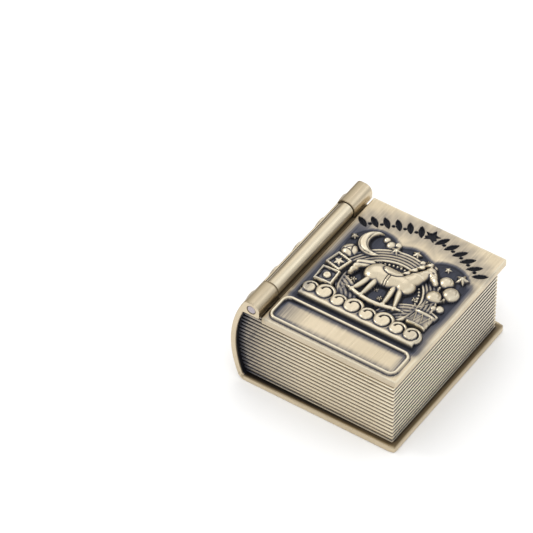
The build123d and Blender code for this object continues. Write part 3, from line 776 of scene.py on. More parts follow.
def garlandAt(x, y):
    # distance to the nearest leaf, berry or the star, and to the nearest leaf's midrib
    reach, lean, long = lid["garlandRadius"], lid["leafLean"], lid["leafLength"]
    spacing = reach * math.radians(lid["garlandStep"]) * math.cos(math.radians(lean))
    nearest = starAt(x, y, garlandX, garlandY + reach, lid["star"], lid["starWaist"])
    midrib = np.full_like(nearest, 9.0)
    for side in (-1, 1):
        for k in range(1, lid["leaves"] + 1):
            turn = side * k * lid["garlandStep"]
            cx = garlandX + reach * math.sin(math.radians(turn))
            cy = garlandY + reach * math.cos(math.radians(turn))
            both = -turn - side * lean
            leaf = leafAt(x, y, cx, cy, long, lid["leafWidth"], both)
            u, v = turned(x, y, cx, cy, both)
            midrib = np.minimum(midrib, np.hypot(u, np.maximum(np.abs(v) - lid["midribShare"] * long, 0)))
            berry = discAt(u, v, -side * spacing / 2, -lid["berryDrop"], lid["berry"])
            nearest = union([nearest, leaf, berry])
    return nearest, midrib


def fineSteps(low, high, rounding, *spans):  # spans of even steps, and closer ones in the rounded edges
    lead = rounding * (1 - np.cos(np.radians(np.linspace(0, 90, 6))))
    steps, start = [low + lead[:-1]], low + rounding
    for end, step in spans:
        end = min(end, high - rounding)
        steps.append(np.linspace(start, end, round((end - start) / step), endpoint=False))
        start = end
    return np.concatenate(steps + [[start], high - lead[:-1][::-1]])


def lidPlate():
    # a height grid with rounded edges, border and garland, a skirt down its sides, and the loop below it
    rounding, foreCorner, spineCorner = lid["edgeRound"], lid["foreCorner"], lid["spineCorner"]
    x = fineSteps(lidSpineX, lidForeX, rounding, (lidForeX, lid["step"]))[:, None]
    y = fineSteps(-lidHalf, lidHalf, rounding, (borderY + 5, 0.14), (garlandY + 14.5, 0.26),
                  (garlandY + 29.5, 0.1), (lidHalf, 0.2))[None, :]
    fore = np.clip(x - (lidForeX - foreCorner), 0, foreCorner)
    spine = np.clip((lidSpineX + spineCorner) - x, 0, spineCorner)
    reach = np.minimum(lidHalf - foreCorner + np.sqrt(foreCorner ** 2 - fore ** 2),
                       lidHalf - spineCorner + np.sqrt(spineCorner ** 2 - spine ** 2))
    fromEdge = np.minimum(np.minimum(x - lidSpineX, lidForeX - x), lidHalf - np.abs(y))
    bevel = np.clip(rounding - fromEdge, 0, rounding)
    x, y = x + 0 * y, y * reach / lidHalf
    z = lidTop - rounding + np.sqrt(rounding ** 2 - bevel ** 2)
    z = z + dome(np.abs(borderAt(x, y)) - lid["borderWidth"] / 2, lid["borderRise"], lid["borderRound"])
    sunk, midrib = garlandAt(x, y)
    z = z - lid["sunk"] * fade(-0.13, 0.05, sunk) + lid["midrib"] * (sunk < -0.1) * fade(0.0, 0.16, midrib)
    rows, columns = x.shape
    top = np.stack([x, y, z], -1).reshape(-1, 3)
    grid = np.arange(rows * columns).reshape(rows, columns)
    around = np.concatenate([grid[:-1, 0], grid[-1, :-1], grid[:0:-1, -1], grid[0, :0:-1]])
    skirt = top[around].copy()
    skirt[:, 2] = blockTop
    low = np.arange(len(around)) + len(top)
    side = np.stack([around, np.roll(around, -1), np.roll(low, -1), low], -1)
    return np.concatenate([top, skirt]), np.concatenate([gridFaces(rows, columns), side]), low


def lidTube():  # a round sleeve about the pin's axis, its ends slightly rounded
    half, edge, count = lid["tubeHalf"], lid["tubeRound"], lid["tubeRows"]
    turn = np.radians(np.linspace(0, 90, 5))
    endY, endR = half - edge + edge * np.sin(turn), tubeRadius - edge + edge * np.cos(turn)
    between = np.linspace(-endY[0], endY[0], count + 2)[1:-1]
    y = np.concatenate([-endY[::-1], between, endY, [half, -half]])
    radius = np.concatenate([endR[::-1], np.full(count, tubeRadius), endR, [lid["boreRadius"]] * 2])
    points = aboutPin(radius, y, lid["tubeColumns"])
    return points.reshape(-1, 3), gridFaces(len(y), lid["tubeColumns"], True, True)


def plainBox(low, high):  # the corners and faces of a plain block
    x, y, z = zip(low, high)
    points = np.array([(a, b, c) for a in x for b in y for c in z])
    faces = [(0, 1, 3, 2), (4, 6, 7, 5), (0, 4, 5, 1), (2, 3, 7, 6), (0, 2, 6, 4), (1, 5, 7, 3)]
    return points, np.array(faces)


platePoints, plateFaces, plateLow = lidPlate()
tubePoints, tubeFaces = lidTube()
webHalf = lid["tubeHalf"] - lid["webShort"]
webPoints, webFaces = plainBox((pinX + lid["webInset"], -webHalf, blockTop),
                               (lidSpineX + lid["edgeRound"], webHalf, lidTop - lid["webDrop"]))
tubeStart, webStart = len(platePoints), len(platePoints) + len(tubePoints)
lidMesh = makeMesh("frontCoverCasting", np.concatenate([platePoints, tubePoints, webPoints]),
                   np.concatenate([plateFaces, tubeFaces + tubeStart, webFaces + webStart]), [plateLow])
tidyMesh(lidMesh)
print("front cover cast:", len(lidMesh.polygons), "faces")

# Ornament: shares of its width and height from the middle of its foot, radii as shares of its size
ornament = {
    "width": 30.0, "height": 25.4, "spread": 1.18, "tail": 10.1, "margin": 1.0, "step": 0.125,
    "sink": 0.25,
    "ground": 0.3, "low": 1.0, "mid": 1.6, "high": 2.1,
    "clouds": [(-0.425, 0.100, 0.075), (-0.310, 0.120, 0.090), (-0.185, 0.095, 0.078), (-0.070, 0.110, 0.090),
               (0.055, 0.095, 0.080), (0.180, 0.115, 0.092), (0.305, 0.100, 0.080), (0.420, 0.105, 0.080)],
    "bank": (0.960, 0.110),
    "body": [(-0.105, 0.560, 0.098, 0.105, 0.565, 0.088), (0.120, 0.600, 0.075, 0.205, 0.790, 0.050),
             (0.205, 0.800, 0.050, 0.290, 0.715, 0.031)],
    "legs": [(0.110, 0.510, 0.034, 0.175, 0.275, 0.019), (0.070, 0.500, 0.034, 0.085, 0.265, 0.019),
             (-0.120, 0.510, 0.038, -0.180, 0.280, 0.019), (-0.080, 0.500, 0.034, -0.095, 0.262, 0.019)],
    "muscles": [(-0.118, 0.548, 0.096), (0.118, 0.560, 0.090)],
    "hindTail": [(-0.185, 0.610, 0.036, -0.262, 0.560, 0.041), (-0.262, 0.560, 0.040, -0.280, 0.440, 0.024)],
    "mane": [(0.165, 0.850, 0.032), (0.125, 0.795, 0.034), (0.095, 0.735, 0.036), (0.068, 0.670, 0.036),
             (0.045, 0.605, 0.032)],
    "rocker": (0.223, 0.565, 0.038, 0.066),
    "saddle": (-0.01, 0.63, 2.5, 1.7), "eye": (0.235, 0.785),  # the saddle's halves in millimetres
    "straps": [(0.235, 0.700, 0.275, 0.775), (0.175, 0.745, 0.262, 0.800), (0.105, 0.690, 0.205, 0.690)],
    "blocks": [(-0.390, 0.290, 0.155, 4.0), (-0.395, 0.478, 0.145, -13.0)],
    "ball": (-0.400, 0.660, 0.070), "drum": (0.385, 0.300, 0.165, 0.185),
    "balloons": [(0.345, 0.585, 0.066), (0.430, 0.690, 0.068), (0.345, 0.780, 0.062)],
    "moon": (-0.285, 0.830, 0.125), "moonBite": (-0.225, 0.865, 0.105),
    "stars": [(-0.120, 0.860, 0.060), (0.020, 0.930, 0.045), (0.420, 0.890, 0.058), (-0.455, 0.830, 0.036),
              (0.285, 0.925, 0.032)],
    "field": [(0.000, 0.500, 0.380, 0.449), (-0.290, 0.780, 0.185, 0.218), (0.300, 0.760, 0.190, 0.224),
              (-0.360, 0.400, 0.130, 0.154), (0.360, 0.400, 0.130, 0.154), (0.000, 0.780, 0.160, 0.189)],
    "arch": (0.0, 0.40, 0.290, 0.420, 5),  # its centre, inner and outer radius as shares of the width, ridges
    "hills": [(-0.360, 0.080, 0.290), (0.360, 0.080, 0.310)],
    "puffs": [(-0.185, 0.905, 0.040), (-0.140, 0.935, 0.030), (-0.235, 0.935, 0.030), (0.150, 0.850, 0.036),
              (0.200, 0.870, 0.028), (0.100, 0.870, 0.028), (-0.400, 0.570, 0.026), (0.440, 0.500, 0.036),
              (0.400, 0.480, 0.030)],
    "flowers": [(-0.225, 0.395, 0.030), (-0.165, 0.690, 0.026), (0.245, 0.480, 0.028), (0.030, 0.330, 0.026),
                (-0.035, 0.400, 0.022), (0.215, 0.345, 0.026), (-0.010, 0.745, 0.024), (-0.235, 0.270, 0.026),
                (0.255, 0.610, 0.022), (-0.195, 0.800, 0.022), (0.130, 0.905, 0.022), (0.360, 0.430, 0.024)],
}
ornamentSize = math.sqrt(ornament["width"] * ornament["height"] * ornament["spread"])  # for the radii
footY = ornament["tail"] - halfLength
# Fine work of the ornament in millimetres: heights and depths, and each line's depth with its width
carving = {
    "groundEdge": 0.04, "groundFall": 1.6, "hill": 0.72, "furrow": 0.2, "furrowPitch": 0.95,
    "arch": 0.8, "archGroove": 0.28, "beads": 56, "bead": 0.75, "beadRadius": 0.36, "beadsInside": 0.55,
    "flower": 0.85, "flowerEye": (0.3, 0.28), "curl": (0.6, 0.4), "puff": 1.05, "bankDrop": 0.45,
    "tailWaves": 0.2, "saddle": (0.25, 0.3), "saddleRise": 0.12, "girth": (0.2, 0.25), "strap": (0.16, 0.3),
    "eye": (0.35, 0.32), "strands": 0.14, "frame": 0.5, "sign": 0.4, "seam": (0.3, 0.3),
    "hoop": (0.45, 0.6), "lace": (0.25, 0.55), "shine": (0.12, 0.32), "crescent": (0.25, 0.25),
}


def ornamentX(share):  # a share of the width from the lid's middle
    return lidMidX + share * ornament["width"]


def ornamentY(share):  # a share of the height from the ornament's foot
    return footY + share * ornament["height"]


def placed(share):  # a figure's middle and its radius or side
    return ornamentX(share[0]), ornamentY(share[1]), share[2] * ornamentSize


def discShare(x, y, share):  # a disc given in shares
    return discAt(x, y, *placed(share))


def limbShare(x, y, share):  # a limb given in shares
    return limbAt(x, y, *placed(share[:3]), *placed(share[3:]))


def fieldAt(x, y):  # the thin ground that joins the figures, a union of ovals
    o = ornament
    return union([ovalAt(x, y, ornamentX(s[0]), ornamentY(s[1]), s[2] * o["width"], s[3] * o["height"])
                  for s in o["field"]])


def bankAt(x, y):  # the straight bank below the clouds
    width, top = ornament["bank"][0] * ornament["width"], ornament["bank"][1] * ornament["height"]
    return boxAt(x, y, lidMidX, footY + top / 2, width, top)


def drumAt(x, y, corner=0.0):  # the drum's outline
    o, drum = ornament, ornament["drum"]
    return boxAt(x, y, ornamentX(drum[0]), ornamentY(drum[1]), drum[2] * o["width"], drum[3] * o["height"],
                 0, corner)


def blockAt(x, y, share, corner=0.0):  # a toy block's outline, turned by its last share in degrees
    cx, cy, side = placed(share)
    return boxAt(x, y, cx, cy, side, side, share[3], corner)


def groundAt(x, y):  # distance to the edge of everything that stands on the lid
    o = ornament
    discs = [discShare(x, y, s) for s in o["clouds"] + o["balloons"] + [o["ball"]]]
    stars = [discShare(x, y, (s[0], s[1], 0.6 * s[2])) for s in o["stars"]]
    blocks = [blockAt(x, y, s) for s in o["blocks"]]
    return union([fieldAt(x, y), drumAt(x, y), bankAt(x, y)] + discs + stars + blocks)


def furrows(phase, depth):  # rounded ridges with a narrow groove at each whole number of the phase
    return depth * (1 - np.abs(np.sin(math.pi * phase))) ** 1.5


def sceneryAt(x, y):  # heights of ground, hills, rainbow, beads, flowers, clouds and puffs
    o, c = ornament, carving
    inField = fieldAt(x, y)
    ground = c["groundEdge"] + (o["ground"] - c["groundEdge"]) * fade(-c["groundFall"], 0.0, inField)
    parts = [np.where(inField < 0, ground, 0)]
    # hills in both lower corners, ploughed in curved furrows
    for s in o["hills"]:
        cx, cy, r = placed(s)
        reach = np.hypot(x - cx, y - cy)
        hill = np.maximum(reach - r, inField + 0.35)
        furrow = furrows(reach / c["furrowPitch"], c["furrow"])
        parts.append(dome(hill, c["hill"], 0.4) - furrow * (hill < -0.1))
    # a rainbow behind the figures: a raised band of parallel ridges, with a string of beads inside it
    arch = o["arch"]
    inner, outer = arch[2] * o["width"], arch[3] * o["width"]
    reach, around = polar(x, y, ornamentX(arch[0]), ornamentY(arch[1]))
    band = np.abs(reach - (inner + outer) / 2) - (outer - inner) / 2
    phase = (reach - inner) / (outer - inner) * arch[4]
    rainbow = dome(band, c["arch"], 0.25) - furrows(phase, c["archGroove"]) * (band < 0)
    parts.append(np.where((inField < -0.4) & (y > ornamentY(0.12)), rainbow, 0))
    beadPitch = 2 * math.pi / c["beads"]
    fromBead = (around / beadPitch - np.round(around / beadPitch)) * beadPitch * inner
    bead = np.hypot(reach - inner + c["beadsInside"], fromBead) - c["beadRadius"]
    parts.append(dome(bead, c["bead"], c["beadRadius"]))
    # small flowers on the ground, each with five petals and an eye
    for s in o["flowers"]:
        cx, cy, r = placed(s)
        reach, around = polar(x, y, cx, cy)
        petals = reach - r * (0.72 + 0.28 * np.cos(5 * around + cx))
        parts.append(dome(petals, c["flower"], 0.5) - ridge(reach - 0.3 * r, *c["flowerEye"]) * (petals < 0))
    # clouds on their bank: domes with a curled line on each
    for s in o["clouds"]:
        cx, cy, r = placed(s)
        reach, around = polar(x, y, cx, cy)
        curl = ridge(reach - r * (0.62 - 0.09 * around), *c["curl"])
        parts.append(dome(reach - r, o["mid"], 1.3) - curl * (reach - r < -0.25))
    parts.append(dome(bankAt(x, y), o["mid"] - c["bankDrop"], 0.35))
    parts += [dome(discShare(x, y, s), c["puff"], placed(s)[2]) for s in o["puffs"]]
    return parts


def horseAt(x, y):  # heights of the rocking horse, from its rocker up to its mane
    o, c, size = ornament, carving, ornamentSize
    low, high = o["low"], o["high"]
    # rocker: the lowest part of a ring
    foot, radius, thick, rise = o["rocker"]
    radius = radius * o["width"]
    ring = discAt(x, y, ornamentX(0), ornamentY(foot) + radius, radius - thick * size / 2)
    ring = np.maximum(np.abs(ring) - thick * size / 2, y - ornamentY(foot) - rise * size)
    parts = [dome(ring, low + 0.35, 0.45)]
    for s in o["legs"]:
        hoofX, hoofY = ornamentX(s[3]), ornamentY(s[4])
        hoof = limbAt(x, y, hoofX, hoofY - 0.1, 0.62, hoofX + 0.3, hoofY + 0.35, 0.46)
        parts += [dome(limbShare(x, y, s), low + 0.45, 1.0), dome(hoof, low + 0.5, 0.5)]
    tail = union([limbShare(x, y, s) for s in o["hindTail"]])
    waves = c["tailWaves"] * (1 - np.sin((x * 0.45 - y) * 5.2))
    parts.append(dome(tail, high - 0.2, 1.0) - (tail < -0.1) * waves)
    # body, neck and head, rounder and higher from head to body
    limbs = [limbShare(x, y, s) for s in o["body"]]
    body = union(limbs)
    horse = np.maximum.reduce(
        [dome(limb, high - 0.1 * k, 2.5 - 0.6 * k) for k, limb in enumerate(limbs)]
        + [dome(discShare(x, y, s), high, 2.4) for s in o["muscles"]])
    # harness: saddle, girth and straps
    cx, cy = ornamentX(o["saddle"][0]), ornamentY(o["saddle"][1])
    saddle = ovalAt(x, y, cx, cy, *o["saddle"][2:])
    horse = horse - ridge(saddle, *c["saddle"]) * (body < -0.2) + c["saddleRise"] * (saddle < -0.3)
    girth = np.abs(x - cx) - 0.3
    onGirth = (np.abs(girth) < 0.6) & (saddle > 0) & (body < 0)
    horse = np.where(onGirth, horse - ridge(girth, *c["girth"]), horse)
    for s in o["straps"]:
        strap = limbAt(x, y, ornamentX(s[0]), ornamentY(s[1]), 0.12, ornamentX(s[2]), ornamentY(s[3]), 0.12)
        horse = np.where(body < -0.1, horse + ridge(np.maximum(strap, 0), *c["strap"]), horse)
    eye = discAt(x, y, ornamentX(o["eye"][0]), ornamentY(o["eye"][1]), 0.2)
    parts.append(horse - (body < 0) * ridge(np.maximum(eye, 0), *c["eye"]))
    ear = limbAt(x, y, ornamentX(0.195), ornamentY(0.83), 0.42, ornamentX(0.185), ornamentY(0.895), 0.12)
    parts.append(dome(ear, high, 0.5))
    for k, s in enumerate(o["mane"][::-1]):  # locks that lie over each other like tiles
        cx, cy = placed(s)[:2]
        lock = limbAt(x, y, cx + 0.4, cy + 0.25, 0.75, cx - 0.75, cy - 0.75, 0.26)
        strands = c["strands"] * np.abs(np.sin(((x - cx) - (y - cy)) * 4.2))
        parts.append(dome(lock, high - 0.25 + 0.06 * k, 0.75) - strands * (lock < -0.1))
    return parts


def toysAt(x, y):  # heights of blocks, ball, drum and balloons
    o, c = ornament, carving
    low, mid, parts = o["low"], o["mid"], []
    # toy blocks: a raised frame round a star or a disc
    for k, s in enumerate(o["blocks"]):
        cx, cy = placed(s)[:2]
        block = blockAt(x, y, s, 0.25)
        sign = starAt(x, y, cx, cy, 1.25, 0.46) if k else discAt(x, y, cx, cy, 0.85)
        parts.append(dome(block, mid, 0.3) - c["frame"] * fade(-0.75, -0.55, block)
                     + c["sign"] * fade(-0.1, 0.1, sign))
    # ball with three seams
    cx, cy, r = placed(o["ball"])
    ball = discAt(x, y, cx, cy, r)
    seams = union([np.abs(discAt(x, y, cx + 2.2 * r * math.cos(t), cy + 2.2 * r * math.sin(t), 2.0 * r))
                   for t in np.radians([20, 140, 260])])
    parts.append(dome(ball, mid, r) - ridge(seams, *c["seam"]) * (ball < -0.2))
    # drum: a barrel with hoops above and below, laced between
    width, tall = o["drum"][2] * o["width"], o["drum"][3] * o["height"]
    u, v = (x - ornamentX(o["drum"][0])) / width, y - ornamentY(o["drum"][1])
    drum = drumAt(x, y, 0.35)
    barrel = (mid - 0.35) * np.sqrt(np.maximum(1 - (1.75 * u) ** 2, 0.15))
    hoops = ridge(np.abs(v + 0.25 * (1 - 4 * u ** 2)) - tall / 2 + 0.55, *c["hoop"])
    lace = ridge((np.abs((u * 6) % 2 - 1) - 0.5) * (tall - 2.2) - v, *c["lace"])
    parts.append(np.where(drum < 0, dome(drum, 1, 0.3) * (barrel + np.maximum(hoops, lace)), 0))
    # balloons with a shine, a knot and a string each
    for s in o["balloons"]:
        cx, cy, r = placed(s)
        balloon = discAt(x, y, cx, cy, r)
        shine = np.abs(discAt(x, y, cx, cy, 0.62 * r)) + 3 * np.maximum(0, (cx - x) + (cy - y) + 0.5 * r) / r
        knot = limbAt(x, y, cx - 0.1, cy - r + 0.1, 0.12, cx - 0.25, cy - r - 0.35, 0.34)
        string = limbAt(x, y, cx - 0.2, cy - r - 0.2, 0.16, ornamentX(0.31), ornamentY(0.41), 0.16)
        parts += [dome(balloon, mid + 0.2, 1.15 * r) - ridge(shine, *c["shine"]) * (balloon < -0.1),
                  dome(knot, mid - 0.3, 0.3), dome(string, low - 0.1, 0.16)]
    return parts


def skyAt(x, y):  # heights of moon and stars; each point of a star has a ridge along its middle
    o = ornament
    moon = np.maximum(discShare(x, y, o["moon"]), -discShare(x, y, o["moonBite"]))
    parts = [dome(moon, o["mid"], 0.9) - (moon < 0) * ridge(moon + 0.5, *carving["crescent"])]
    for s in o["stars"]:
        star = starAt(x, y, *placed(s), 0.46)
        parts.append(np.where(star < 0, np.minimum(0.45 - 1.6 * star, o["low"] + 0.35), 0))
    return parts


def blurred(field, sigma):  # Gaussian blur in the frequency domain, sigma in cells
    across, down = np.fft.fftfreq(field.shape[0])[:, None], np.fft.rfftfreq(field.shape[1])[None, :]
    keep = np.exp(-2 * (math.pi * sigma) ** 2 * (across ** 2 + down ** 2))
    return np.fft.irfft2(np.fft.rfft2(field) * keep, s=field.shape)


# Strengths of patina on the ornament, from 0 to 1, and the blurs in mm that find its hollows
ornamentShade = {
    "hollow": 0.95, "wide": 0.35, "crease": 0.7, "blurs": (0.45, 1.1, 0.22),
    "high": 0.3, "ground": 0.86, "left": 0.56, "right": 0.15,
}


def makeOrnament():
    # a height grid over a flat one; where nothing stands the heights sink to the flat grid and close it
    o, s, step, margin = ornament, ornamentShade, ornament["step"], ornament["margin"]
    x = np.arange(lidMidX - o["width"] / 2 - margin, lidMidX + o["width"] / 2 + margin, step)[:, None]
    y = np.arange(footY - margin, footY + o["height"] + margin, step)[None, :]
    x, y = x + 0 * y, y + 0 * x
    relief = np.maximum.reduce(sceneryAt(x, y) + horseAt(x, y) + toysAt(x, y) + skyAt(x, y))
    outside = relief <= 0.0
    relief = np.where(outside, -o["sink"], relief)
    ground = np.maximum(relief, 0)
    hollow, wide, crease = [blurred(ground, blur / step) - ground for blur in s["blurs"]]
    cells = gridFaces(*relief.shape)
    cells = cells[~outside.ravel()[cells].all(1)]
    top = np.stack([x, y, lidTop + relief], -1).reshape(-1, 3)
    bottom = top.copy()
    bottom[:, 2] = lidTop - o["sink"]
    used, faces = np.unique(np.concatenate([cells, cells[:, ::-1] + len(top)]), return_inverse=True)
    mesh = makeMesh("ornamentCasting", np.concatenate([top, bottom])[used], faces.reshape(-1, 4))
    recess = s["hollow"] * smooth(-0.18, 0.26, hollow) + s["wide"] * smooth(-0.1, 0.6, wide)
    recess = recess + s["crease"] * smooth(0.01, 0.13, crease) - s["high"] * smooth(0.9, 1.6, relief)
    recess = np.maximum(recess, s["ground"] * fade(0.25, 0.7, relief))
    worn = 0.35 * smooth(1.1, 1.8, relief) * smooth(-0.1, 0.0, -hollow)
    worn = np.maximum(smooth(0.03, 0.2, -hollow), worn)
    share = (x - lidMidX) / o["width"]  # both flanks darker than the middle
    flank = np.maximum(s["left"] * fade(-0.48, -0.38, share), s["right"] * smooth(0.34, 0.43, share))
    recess = np.maximum(recess, flank * (1 - 0.5 * worn))
    for layer, values in (("patinaAndShade", recess), ("wearAndHighlight", worn)):
        paint(mesh, layer, np.concatenate([values.ravel(), np.ones(len(top))])[used])
    tidyMesh(mesh, 50)
    return mesh


ornamentMesh = makeOrnament()
addPiece("ornamentCasting", ornamentMesh, "lid", ["cover_ornament"], coverBrass)
print("ornament cast:", len(ornamentMesh.polygons), "faces")

# Strengths of patina and painted shade on the lid, from 0 to 1
lidShade = {
    "round": 0.95, "right": 0.75, "fore": 0.85,        # round the ornament, on its right, along the fore edge
    "left": 0.4, "leftHead": 0.06, "leftInner": 0.4,   # left margin, less towards the head, more inwards
    # tubeFoot and besideTube: painted shade with patina where the tube shelters the plate
    "tubeFoot": 0.9, "besideTube": 0.28,
    "borderFoot": 0.85, "above": 0.6, "below": 0.4,    # round the nameplate
    "name": 0.4, "nameLeft": 0.42, "nameTop": 0.3, "nameEnd": 0.4,  # inside its ridge
    "garland": 0.26, "side": 0.1,
    # painted shade on the tube: below it, at its back, in the gaps at its ends, and less towards the spine
    "tubeUnder": 0.6, "tubeBack": 0.4, "tubeTop": 0.08, "tubeEnds": 0.5,
}


def roundOrnament(x, y):  # patina round the ornament: wide at its foot, narrower above and at its sides
    s, ground = lidShade, groundAt(x, y)
    left, right = ornamentX(-0.5), ornamentX(0.5)
    upper, beside = smooth(footY + 15, footY + 21, y), smooth(footY - 0.5, footY + 2.5, y)
    onLeft, onRight = fade(left, left + 2, x) * beside, smooth(right - 2.5, right - 0.5, x) * beside
    halo = s["round"] * fade(0.0, 3.4 - 1.6 * upper - 2.2 * onLeft * (1 - upper), ground)
    fore = s["fore"] * np.clip((lidForeX - 0.1 - x) / 1.9, 0, 1)
    fore = fore * (0.75 + 0.25 * smooth(-5, 0, y)) * fade(9, 13, y)
    aside = np.maximum(s["right"] * fade(-0.8, 2.7 - 0.8 * upper, ground), fore)
    # the left margin: a film that ends along a slanted line
    inner = smooth(left - 0.7, left + 0.2, x + 0.35 * fade(0, 4, y))
    margin = s["left"] - s["leftHead"] * smooth(0, 4, y) + s["leftInner"] * inner
    onMargin = fade(left + 1.5, left + 4.5, x) * smooth(footY - 1.5, footY + 2, y)
    onMargin = onMargin * fade(footY + 23, footY + 30, y)
    return np.maximum(halo * (1 - onRight) + aside * onRight, onMargin * margin)


def roundBorder(x, y):  # patina on both sides of the nameplate's ridge
    s, ridgeAt = lidShade, borderAt(x, y)
    inside, past = ridgeAt < 0, np.abs(ridgeAt) - lid["borderWidth"] / 2
    upper, onLeft = smooth(borderY, borderY + 3, y), fade(borderX - 15, borderX - 7, x)
    name = s["name"] + s["nameLeft"] * onLeft + s["nameTop"] * upper
    above = upper * fade(14.5, 17.0, np.abs(x - borderX))
    return np.maximum.reduce([
        s["borderFoot"] * fade(0.0, 0.3, past) * (past > 0),
        s["above"] * fade(0.0, 2.2, past) * ~inside * above,
        s["below"] * fade(0.0, 0.9, past) * ~inside * fade(borderY - 3.5, borderY, y),
        name * fade(0.0, 1.9, past) * (inside & (past > 0)),
        s["nameEnd"] * onLeft * inside,
    ])


def shadeLid(mesh):
    # the strongest of the shades round each form of the plate; the tube's own go by the angle about the pin
    s = lidShade
    x, y, z = pointsOf(mesh).T
    sunk, fromTube = garlandAt(x, y)[0], x - lidSpineX
    border = np.abs(borderAt(x, y)) - lid["borderWidth"] / 2
    # painted shade with patina on the plate where the tube shelters it
    tubeFoot = np.maximum(s["tubeFoot"] * fade(0.0, 0.5, fromTube),
                          s["besideTube"] * fade(0.3, 2.6, fromTube))
    garland = ((z < lidTop - 0.1) & (sunk < 0.1)) + s["garland"] * fade(0.1, 3.0, sunk)
    top = np.maximum.reduce([roundOrnament(x, y), roundBorder(x, y), tubeFoot * fade(12.5, 16.5, y), garland])
    plate = np.maximum(top * (z > lidTop - 0.6), s["side"] * (np.abs(y) > lidHalf - 0.1))
    plate = plate * smooth(-0.3, 0.02, border)
    edge = np.minimum(np.minimum(x - lidSpineX, lidForeX - x), lidHalf - np.abs(y))
    plateWear = np.maximum(fade(0.1, 0.6, edge) * smooth(lidTop - lid["edgeRound"], lidTop - 0.1, z),
                           fade(-0.35, 0.0, border))
    # the tube: painted shade below and at its back, and a painted highlight along its top towards the lid
    fromPin, around = polar(x, z, pinX, pinZ)
    isTube, around = fromPin < tubeRadius + 0.01, np.degrees(around)
    tube = s["tubeUnder"] * fade(-42, 2, around) * (around > -120)
    tube = tube + s["tubeBack"] * smooth(90, 118, np.abs(around))
    tube = tube - s["tubeTop"] * smooth(128, 150, np.abs(around))
    tube = np.maximum(tube, s["tubeEnds"] * fade(0.0, 0.2, lid["tubeHalf"] - np.abs(y)))
    tubeHighlight = smooth(-8, 18, around) * fade(62, 96, around) * (0.8 + ridge(around - 66, 0.2, 14))
    paint(mesh, "patinaAndShade", np.where(isTube, tube, plate))
    # painted reflection: warm on the tube and on the plate within about a millimetre of it
    paint(mesh, "brassReflection", np.where(isTube, 1.0, fade(0.3, 1.2, fromTube)))
    paint(mesh, "wearAndHighlight", np.where(isTube, tubeHighlight, plateWear))


shadeLid(lidMesh)
addPiece("frontCoverCasting", lidMesh, "lid", ["front_cover"], coverBrass)

# Hinge pin: its ends are chamfered and slightly domed
pinLow, pinHigh = nodeBox("hinge_pin")
pin = {"radius": (pinHigh[0] - pinLow[0]) / 2, "chamfer": 0.12, "dome": 0.03, "columns": 64}


def pinMesh():  # rings from the middle of one end over its dome and chamfer, and back at the other
    half, r, c, d = pinHigh[1], pin["radius"], pin["chamfer"], pin["dome"]
    ends = [(0.02, half), (0.35 * r, half - 0.15 * d), (0.7 * r, half - 0.5 * d), (r - c, half - d),
            (r - 0.3 * c, half - d - 0.4 * c), (r, half - d - c)]
    rings = [(radius, -y) for radius, y in ends] + [(r, 0)] + ends[::-1]
    return loopMesh("hingePin", aboutPin(*zip(*rings), pin["columns"]), closed=False)


addPiece("hingePin", pinMesh(), "box", ["hinge_pin"], pinSteel)
print("hinge pin turned")

# Velvet: two crowned pads and the strip round the walls
soft = {"padCorner": 1.55, "padEdge": 0.5, "crown": 0.12, "ripple": 0.02, "crownRings": 18,
        "stripCorner": 1.55, "stripThick": 0.6}


def roundedLoop(x0, x1, y0, y1, corner, straight=40, turn=8):  # a rounded rectangle seen from above
    left, right, near, far = x0 + corner, x1 - corner, y0 + corner, y1 - corner
    return np.concatenate([
        run((left, y0), (right, y0), straight), arc(right, near, corner, -90, 0, turn),
        run((x1, near), (x1, far), straight), arc(right, far, corner, 0, 90, turn),
        run((right, y1), (left, y1), straight), arc(left, far, corner, 90, 180, turn),
        run((x0, far), (x0, near), straight), arc(left, near, corner, 180, 270, turn),
    ])


def padMesh(name, low, high, facesDown):
    # rings shrink towards the middle over a rounded edge and a shallow crown; the flat back is one face
    edge, thick, crown = soft["padEdge"], high[2] - low[2], soft["crown"]
    turn = np.radians(np.linspace(0, 90, 6))
    inwards = np.linspace(0.05, 1, soft["crownRings"])
    insets = np.concatenate([[0], edge * (1 - np.cos(turn)), edge + inwards ** 1.2 * 13.3])
    height = np.concatenate([[0], thick - edge - crown + edge * np.sin(turn),
                             thick - crown * (1 - inwards) ** 2])
    rings = []
    for inset, z in zip(insets, height):
        corner = max(soft["padCorner"] - inset, 0.2)
        inset = min(inset, (high[0] - low[0]) / 2 - 0.45)
        loop = roundedLoop(low[0] + inset, high[0] - inset, low[1] + inset, high[1] - inset, corner)
        level = high[2] - z if facesDown else low[2] + z
        rings.append(np.column_stack([loop, np.full(len(loop), level)]))
    points = np.array(rings)
    wave = soft["ripple"] * (np.sin(points[..., 0] * 1.9) * np.sin(points[..., 1] * 1.3 + 0.8) - 1)
    points[6:, :, 2] += wave[6:] * (-1 if facesDown else 1)
    return loopMesh(name, points, closed=False, sharpDegrees=60)


